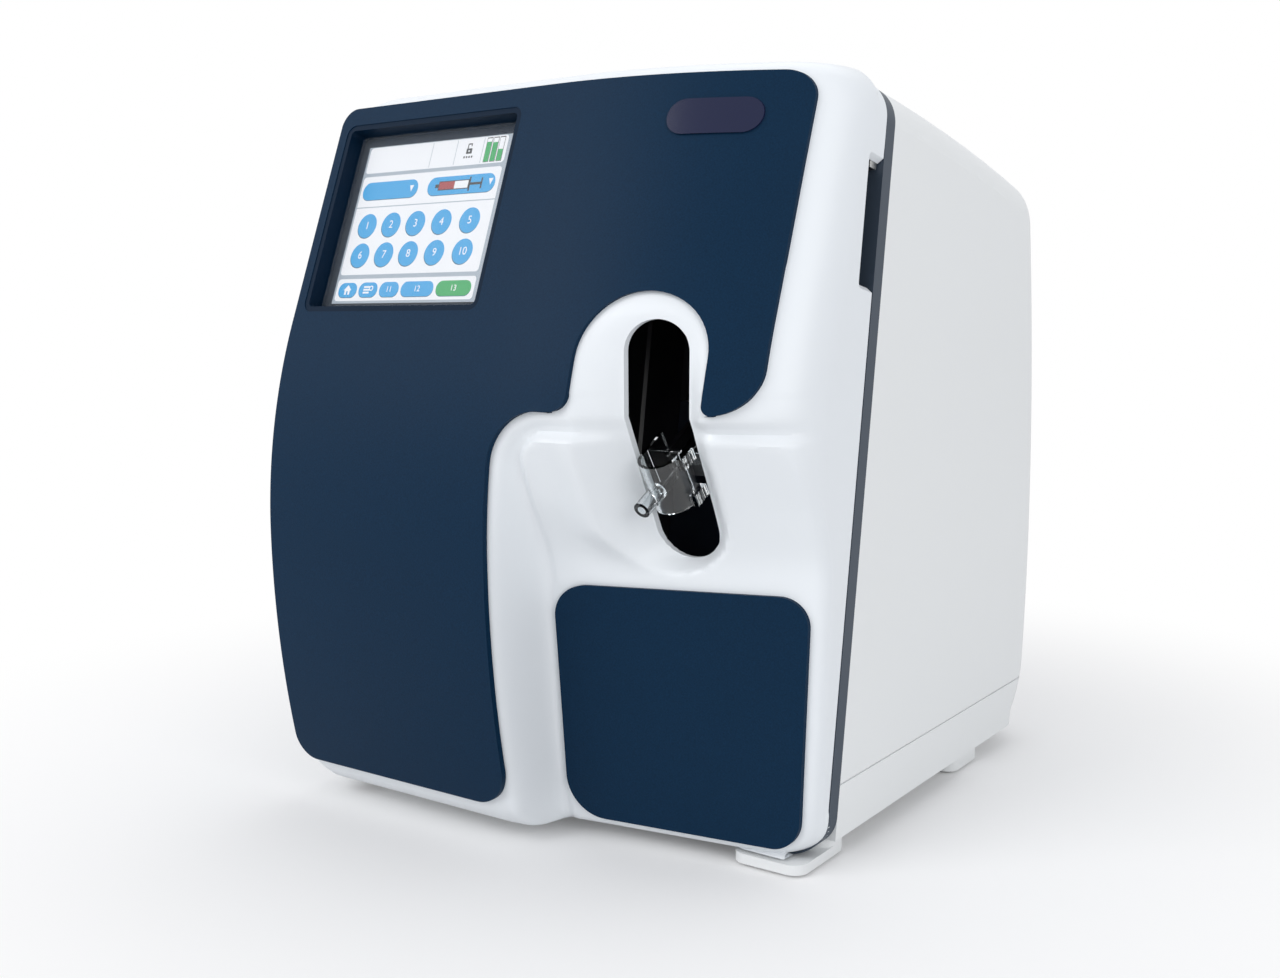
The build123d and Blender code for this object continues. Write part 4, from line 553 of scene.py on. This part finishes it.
notchCorners = [(notch["inX"], notch["low"], notch["r"]), (notch["outX"], notch["low"], notch["r"]),
                (notch["outX"], notch["high"], notch["r"]), (notch["inX"], notch["high"], notch["r"])]
scoop = {"ahead": 15.2, "behind": 6, "low": 281.2, "high": 348.3, "outX": 153.4, "inX": 149.6, "narrow": 3.2,
         "r": 3.0}
slotCut = {"fromY": -210, "depth": 120}


def makeScoop():  # eased finger edge: a cutter that narrows inwards
    k = scoop
    bm = bmesh.new()
    face = bm.faces.new([bm.verts.new((k["outX"], p.y, p.x)) for p in roundedOutline(
        [(-k["behind"], k["low"], k["r"]), (k["ahead"], k["low"], k["r"]), (k["ahead"], k["high"], k["r"]),
         (-k["behind"], k["high"], k["r"])], 5)])
    pulled = bmesh.ops.extrude_face_region(bm, geom=[face])["geom"]
    middle = (k["low"] + k["high"]) / 2
    for v in [v for v in pulled if isinstance(v, bmesh.types.BMVert)]:
        v.co.x = k["inX"]
        v.co.z -= k["narrow"] if v.co.z > 4 else 0  # only the end that lies ahead
        v.co.y += k["narrow"] if v.co.y < middle else -k["narrow"]
    for v in bm.verts:
        v.co *= mm
    bmesh.ops.transform(bm, matrix=notchPlace, verts=bm.verts)
    return newObject("scoopCutter", bm, [], None)


cutWith(shell, [
    prism("slotCutter", slotPoints, facing(slotCut["fromY"]), slotCut["depth"]),
    prism("displayCutter", roundedOutline(displayCut), displayPlace(display["cutFrom"]), display["cutDepth"]),
    prism("notchCutter", roundedOutline(notchCorners, 4),
          notchPlace @ Matrix.Translation((0, 0, -notch["under"] * mm)), notch["depth"]),
    makeScoop(),
])
print("door shell:", len(shell.data.polygons), "faces")


panelSheet = {"thick": 0.6, "cell": 5.0, "sink": 3.0, "cornerSteps": 14}


# Thin panel cut to an outline and laid over a face; bands are (inset, lift) from its edge inwards. Its bevel
# bands get a lighter second material, a painted highlight.
def layPanel(name, corners, faceOf, step, replaced, bands, sink, holes=(), tint="panelBlue",
             edgeHighlight="panelEdgeHighlight"):
    bm = bmesh.new()
    flat = bm.faces.new([bm.verts.new((p.x, 0, p.y)) for p in roundedOutline(
        corners, panelSheet["cornerSteps"])])
    for v in bm.verts:
        v.co.y = bands[0]
    inner = [flat]
    at = 0.0
    for inset, lift in bands[1]:
        ring = bmesh.ops.inset_region(bm, faces=inner, thickness=inset - at, use_even_offset=True)["faces"]
        # The bevel rings take the second material, a painted highlight on the edges.
        for face in ring:
            face.material_index = 1
        at = inset
        for v in inner[0].verts:
            v.co.y = lift
    lowX, highX = min(v.co.x for v in bm.verts), max(v.co.x for v in bm.verts)
    lowZ, highZ = min(v.co.z for v in bm.verts), max(v.co.z for v in bm.verts)
    for k in range(1, int((highX - lowX) / step) + 1):
        bmesh.ops.bisect_plane(bm, geom=bm.verts[:] + bm.edges[:] + bm.faces[:],
                               plane_co=(lowX + k * step, 0, 0), plane_no=(1, 0, 0))
    for k in range(1, int((highZ - lowZ) / step) + 1):
        bmesh.ops.bisect_plane(bm, geom=bm.verts[:] + bm.edges[:] + bm.faces[:],
                               plane_co=(0, 0, lowZ + k * step), plane_no=(0, 0, 1))
    for v in bm.verts:
        v.co = Vector((v.co.x, faceOf(v.co.x, v.co.z) - v.co.y, v.co.z)) * mm
    rim = [e for e in bm.edges if e.is_boundary]
    pulled = bmesh.ops.extrude_edge_only(bm, edges=rim)["geom"]
    for v in [v for v in pulled if isinstance(v, bmesh.types.BMVert)]:
        v.co.y += sink * mm
    panel = newObject(name, bm, [finish[tint], finish[edgeHighlight]], "door", replaced)
    thick = panel.modifiers.new("sheet", "SOLIDIFY")
    thick.thickness = panelSheet["thick"] * mm
    thick.offset = -1
    bakeModifiers(panel)
    if holes:
        cutWith(panel, holes)
    return panel


upperCorners = [
    (-146.5, 382.5, 10), (135, 382.5, 14), (135, 222, 21), (112, 222, 5), (112, 279, 30.9), (50, 279, 30.9),
    (50, 223, 8), (9, 223, 26), (9, 23, 21), (-146.5, 23, 14),
]
bevelBands = (0.1, [(0.15, 0.35), (2.0, 2.15), (2.35, 2.38), (2.9, 2.5)])
upper = layPanel(
    "upperPanel", upperCorners, lambda x, z: panelFace(x, z) + door["panelLift"], panelSheet["cell"],
    ["upper_panel"], bevelBands, panelSheet["sink"],
    [prism("panelCutter", roundedOutline(displayCut), displayPlace(display["cutFrom"]), display["cutDepth"])])
lowerCorners = [(20, 135, 17), (146, 135, 15), (146, 13, 14), (20, 13, 21)]
lower = layPanel("lowerPanel", lowerCorners, recessFloor, panelSheet["cell"], ["lower_panel"], bevelBands,
                 panelSheet["sink"])
print("panels:", len(upper.data.polygons), len(lower.data.polygons))

badgeCorners = [(73, 369.5, 8.4), (116, 369.5, 8.4), (116, 352.5, 8.4), (73, 352.5, 8.4)]
badgeBands = (0.0, [(0.4, 0.8), (1.2, 1.5), (2.0, 1.15)])
layPanel("nameBadge", badgeCorners, panelFace, 3.0, ["name_badge"], badgeBands, 1.5, tint="badgeBlue",
         edgeHighlight="badgeRimHighlight")


# Thin closed plate of an outline in the screen's plane, a level above its bottom.
def addShape(bm, points, level, index, thick=0.05):
    face = bm.faces.new([bm.verts.new((u * mm, v * mm, level * mm)) for u, v in points])
    pulled = bmesh.ops.extrude_face_region(bm, geom=[face])["geom"]
    moved = [v for v in pulled if isinstance(v, bmesh.types.BMVert)]
    bmesh.ops.translate(bm, verts=moved, vec=(0, 0, thick * mm))
    for made in [face] + [f for f in pulled if isinstance(f, bmesh.types.BMFace)]:
        made.material_index = index
        for edge in made.edges:
            for beside in edge.link_faces:
                beside.material_index = index


def pill(left, right, centre, height):
    r = height / 2
    return [(p.x, p.y) for p in roundedOutline(
        [(left, centre - r, r * 0.99), (right, centre - r, r * 0.99), (right, centre + r, r * 0.99),
         (left, centre + r, r * 0.99)], 8)]


def bar(left, right, low, high):
    return [(left, low), (right, low), (right, high), (left, high)]


def disc(u, v, r, steps=40):
    turns = [2 * math.pi * k / steps for k in range(steps)]
    return [(u + r * math.cos(turn), v + r * math.sin(turn)) for turn in turns]


def addText(bm, text, u, v, height, level, index):
    curve = bpy.data.curves.new("figure", "FONT")
    curve.body = text
    curve.size = height * mm
    curve.align_x = "CENTER"
    curve.align_y = "CENTER"
    curve.extrude = 0.02 * mm
    holder = bpy.data.objects.new("figure", curve)
    bpy.context.scene.collection.objects.link(holder)
    flat = bpy.data.meshes.new_from_object(holder.evaluated_get(bpy.context.evaluated_depsgraph_get()))
    flat.transform(Matrix.Translation((u * mm, v * mm, level * mm)))
    before = len(bm.faces)
    bm.from_mesh(flat)
    bm.faces.ensure_lookup_table()
    for face in bm.faces[before:]:
        face.material_index = index
    bpy.data.objects.remove(holder)
    bpy.data.curves.remove(curve)
    bpy.data.meshes.remove(flat)


screen = {
    "width": 111.0, "height": 92.0, "pictureOut": -10.9, "share": 0.955, "shift": 2.4,
    "glassOut": -9.0, "glassThick": 0.7, "glassHalfWidth": 60.9, "glassHalfHeight": 51.4, "glassCorner": 2.9,
    "buttonR": 7.0, "columns": [0.126, 0.30, 0.474, 0.655, 0.845], "buttonRows": [0.513, 0.70],
}
screenPaint = [  # addShape and addText pick from these by index
    makeGlow("screenGrey", (0.36, 0.42, 0.49), 0.85), makeGlow("screenWhite", (0.80, 0.82, 0.86), 0.92),
    makeGlow("screenBlue", (0.006, 0.34, 0.72), 0.85), makeGlow("screenGreen", (0.0, 0.36, 0.075), 0.85),
    makeGlow("screenDark", (0.01, 0.012, 0.015), 0.3), makeGlow("screenRed", (0.55, 0.03, 0.03), 0.5),
    makeGlow("screenShade", (0.0, 0.13, 0.24), 0.6),
]


def buildScreen():
    k = screen
    w, h = k["width"], k["height"]

    def at(s, t):  # share from the left and from the top
        return (s - 0.5) * w * k["share"] - k["shift"], (0.5 - t) * h

    bm = bmesh.new()
    addShape(bm, bar(-w / 2, w / 2, -h / 2, h / 2), 0, 0, 0.3)
    for low, high in ((0.172, 0.005), (0.822, 0.195), (0.985, 0.848)):
        corners = [(*at(0.012, low), 2), (*at(0.978, low), 2), (*at(0.978, high), 2), (*at(0.012, high), 2)]
        addShape(bm, [(p.x, p.y) for p in roundedOutline(corners, 5)], 0.3, 1)
    for s in (0.47, 0.64, 0.82):
        addShape(bm, bar(at(s, 0)[0] - 0.15, at(s, 0)[0] + 0.15, at(0, 0.165)[1], at(0, 0.012)[1]), 0.35, 0)
    addShape(bm, bar(at(0.012, 0)[0], at(0.978, 0)[0], at(0, 0.397)[1], at(0, 0.391)[1]), 0.35, 0)
    fields = [(0.03, 0.43, 0.29, 10.4, 2), (0.50, 0.955, 0.29, 10.4, 2)]
    keys = [(s0, s1, 0.918, 8.4, tint) for s0, s1, tint in (
        (0.03, 0.165, 2), (0.18, 0.315, 2), (0.33, 0.467, 2), (0.483, 0.707, 2), (0.725, 0.958, 3))]
    for s0, s1, t, tall, tint in fields + keys:
        left, middle = at(s0, t)
        right = at(s1, t)[0]
        addShape(bm, pill(left, right, middle - 0.35, tall), 0.35, 6)
        addShape(bm, pill(left, right, middle, tall), 0.4, tint)
    number = 1
    for t in k["buttonRows"]:
        for s in k["columns"]:
            u, v = at(s, t)
            addShape(bm, disc(u - 0.25, v - 0.45, k["buttonR"]), 0.35, 6)
            addShape(bm, disc(u, v, k["buttonR"]), 0.4, 2)
            addText(bm, str(number), u, v, 6.2, 0.47, 1)
            number += 1
    for s, t in ((0.385, 0.29), (0.925, 0.285)):  # drop-down marks
        u, v = at(s, t)
        addShape(bm, [(u - 1.5, v + 1.8), (u, v - 1.8), (u + 1.5, v + 1.8)], 0.45, 1)
    for s, full in ((0.857, 0.04), (0.899, 0.045), (0.941, 0.09)):  # level gauges
        u = at(s, 0)[0]
        addShape(bm, bar(u - 1.9, u + 1.9, at(0, 0.163)[1], at(0, 0.012)[1]), 0.35, 4)
        addShape(bm, bar(u - 1.6, u + 1.6, at(0, 0.16)[1], at(0, 0.018)[1]), 0.4, 1)
        addShape(bm, bar(u - 1.6, u + 1.6, at(0, 0.16)[1], at(0, full)[1]), 0.45, 3)
    u, v = at(0.73, 0.075)  # open lock
    addShape(bm, bar(u - 2.0, u + 2.0, v - 2.4, v + 0.6), 0.35, 4)
    addShape(bm, bar(u - 1.5, u - 0.9, v + 0.6, v + 2.8), 0.35, 4)
    addShape(bm, bar(u - 1.5, u + 1.5, v + 2.8, v + 3.5), 0.35, 4)
    addShape(bm, bar(u + 0.9, u + 1.5, v + 1.8, v + 2.8), 0.35, 4)
    addShape(bm, disc(u, v - 0.9, 0.55, 16), 0.4, 1)
    for step in range(4):
        addShape(bm, bar(u - 3.2 + 1.8 * step, u - 2.2 + 1.8 * step, v - 4.8, v - 3.7), 0.35, 4)
    u, v = at(0.70, 0.29)  # syringe
    addShape(bm, bar(u - 13.2, u + 8.6, v - 2.6, v + 2.6), 0.45, 4)
    addShape(bm, bar(u - 12.7, u - 1.6, v - 2.1, v + 2.1), 0.5, 5)
    addShape(bm, bar(u - 1.6, u + 8.1, v - 2.1, v + 2.1), 0.5, 1)
    addShape(bm, bar(u - 15.6, u - 13.2, v - 1.0, v + 1.0), 0.45, 4)
    addShape(bm, bar(u + 8.6, u + 9.6, v - 4.0, v + 4.0), 0.45, 4)
    addShape(bm, bar(u + 9.6, u + 17.0, v - 0.7, v + 0.7), 0.45, 4)
    addShape(bm, bar(u + 17.0, u + 18.0, v - 3.0, v + 3.0), 0.45, 4)
    u, v = at(0.097, 0.918)  # home mark
    addShape(bm, [(u - 2.9, v), (u, v - 0.6), (u + 2.9, v), (u, v + 2.9)], 0.45, 1)
    addShape(bm, bar(u - 2.0, u - 0.6, v - 2.6, v + 0.5), 0.5, 1)
    addShape(bm, bar(u + 0.6, u + 2.0, v - 2.6, v + 0.5), 0.5, 1)
    u, v = at(0.247, 0.918)  # list mark
    for step in range(3):
        addShape(bm, bar(u - 3.4, u + 1.2, v - 2.1 + 1.6 * step, v - 1.1 + 1.6 * step), 0.45, 1)
    addShape(bm, disc(u + 2.4, v + 0.8, 1.5, 20), 0.45, 1)
    addShape(bm, disc(u + 2.4, v + 0.8, 0.9, 20), 0.5, 2)
    for s, label in ((0.3985, "11"), (0.595, "12"), (0.8415, "13")):
        addText(bm, label, *at(s, 0.918), 4.6, 0.47, 1)
    bmesh.ops.transform(bm, matrix=displayPlace(k["pictureOut"]), verts=bm.verts)
    return newObject("screenPicture", bm, screenPaint, "door", ())


picture = buildScreen()
glassShape = bmesh.new()
glassCorners = rectangle(screen["glassHalfWidth"], screen["glassHalfHeight"], screen["glassCorner"])
addShape(glassShape, [(p.x, p.y) for p in roundedOutline(glassCorners, 6)], 0, 0, screen["glassThick"])
bmesh.ops.transform(glassShape, matrix=displayPlace(screen["glassOut"] - screen["glassThick"]),
                    verts=glassShape.verts)
newObject("screenCover", glassShape, [finish["screenGlass"]], "door", ["display_glass"])
print("screen:", len(picture.data.polygons), "faces")


studio = {
    "worldTint": (0.93, 0.95, 1.0), "worldStrength": 0.60, "target": (0, 0, 0.2),
    "lights": {  # place, size and power
        "keyLight": ((-0.9, -1.8, 1.35), (1.4, 1.4), 23.0),
        "fillLight": ((1.8, -0.9, 0.9), (1.2, 1.2), 11.0),
        "topLight": ((0.1, 0.5, 1.9), (1.6, 1.2), 6.0),
    },
}


def areaLight(name, place, target, size, power):
    data = bpy.data.lights.new(name, "AREA")
    data.shape = "RECTANGLE"
    data.size, data.size_y = size
    data.energy = power
    lamp = bpy.data.objects.new(name, data)
    lamp.location = place
    lamp.rotation_euler = (Vector(target) - Vector(place)).to_track_quat("-Z", "Y").to_euler()
    bpy.context.scene.collection.objects.link(lamp)


for lampName, (spot, extent, power) in studio["lights"].items():
    areaLight(lampName, spot, studio["target"], extent, power)


def plainlySeen(nodes, links):  # 1 for the camera's rays and for those through glass or off a gloss
    path = nodes.new("ShaderNodeLightPath").outputs
    either = mathNode(nodes, links, "MAXIMUM", path["Is Camera Ray"], path["Is Transmission Ray"])
    return mathNode(nodes, links, "MAXIMUM", either, path["Is Glossy Ray"])


world = bpy.data.worlds.new("studioWorld")
bpy.context.scene.world = world
world.use_nodes = True
nodes, links = world.node_tree.nodes, world.node_tree.links
back = nodes["Background"]
back.inputs["Color"].default_value = (*studio["worldTint"], 1)
back.inputs["Strength"].default_value = studio["worldStrength"]
seen = nodes.new("ShaderNodeBackground")
seen.inputs["Color"].default_value = (1, 1, 1, 1)
pick = nodes.new("ShaderNodeMixShader")
links.new(plainlySeen(nodes, links), pick.inputs["Fac"])
links.new(back.outputs[0], pick.inputs[1])
links.new(seen.outputs[0], pick.inputs[2])
links.new(pick.outputs[0], nodes["World Output"].inputs["Surface"])

floorLook = {"reach": 0.60, "fade": 0.48, "lift": 0.10, "tone": 0.80}
bm = bmesh.new()
bmesh.ops.create_grid(bm, x_segments=4, y_segments=4, size=8)
floorSheet = newObject("floorSheet", bm, [], None)
# The floor takes the shadow near the machine and is plain white further out.
floorPaint = bpy.data.materials.new("floorPaint")
floorPaint.use_nodes = True
nodes, links = floorPaint.node_tree.nodes, floorPaint.node_tree.links
shader = nodes["Principled BSDF"]
shader.inputs["Base Color"].default_value = (*[floorLook["tone"]] * 3, 1)
shader.inputs["Roughness"].default_value = 0.8
shader.inputs["Specular IOR Level"].default_value = 0.1
plain = nodes.new("ShaderNodeEmission")
place = nodes.new("ShaderNodeTexCoord")
length = nodes.new("ShaderNodeVectorMath")
length.operation = "LENGTH"
links.new(place.outputs["Object"], length.inputs[0])
fade = nodes.new("ShaderNodeMapRange")
fade.interpolation_type = "SMOOTHSTEP"
fade.inputs["From Min"].default_value = floorLook["reach"] - floorLook["fade"]
fade.inputs["From Max"].default_value = floorLook["reach"]
links.new(length.outputs["Value"], fade.inputs["Value"])
floorSeen = plainlySeen(nodes, links)
lift = nodes.new("ShaderNodeEmission")
links.new(mathNode(nodes, links, "MULTIPLY", floorSeen, floorLook["lift"]), lift.inputs["Strength"])
lifted = nodes.new("ShaderNodeAddShader")
links.new(shader.outputs[0], lifted.inputs[0])
links.new(lift.outputs[0], lifted.inputs[1])
outer = mathNode(nodes, links, "MULTIPLY", fade.outputs["Result"], floorSeen)
pickFloor = nodes.new("ShaderNodeMixShader")
links.new(outer, pickFloor.inputs["Fac"])
links.new(lifted.outputs[0], pickFloor.inputs[1])
links.new(plain.outputs[0], pickFloor.inputs[2])
links.new(pickFloor.outputs[0], nodes["Material Output"].inputs["Surface"])
floorSheet.data.materials.append(floorPaint)

view = {"place": (0.4495, -0.6489, 0.2632), "yaw": 33.403, "pitch": 6.995, "focalPixels": 1336.56,
        "centreX": 715.0, "frameWidth": 1280, "sensor": 36.0}
lens = bpy.data.cameras.new("camera")
lens.sensor_width = view["sensor"]
lens.lens = view["sensor"] * view["focalPixels"] / view["frameWidth"]
lens.shift_x = (view["frameWidth"] / 2 - view["centreX"]) / view["frameWidth"]
camera = bpy.data.objects.new("camera", lens)
camera.location = view["place"]
camera.rotation_euler = (math.radians(90 - view["pitch"]), 0, math.radians(view["yaw"]))
bpy.context.scene.collection.objects.link(camera)
bpy.context.scene.camera = camera
bpy.context.scene.view_settings.view_transform = "Standard"
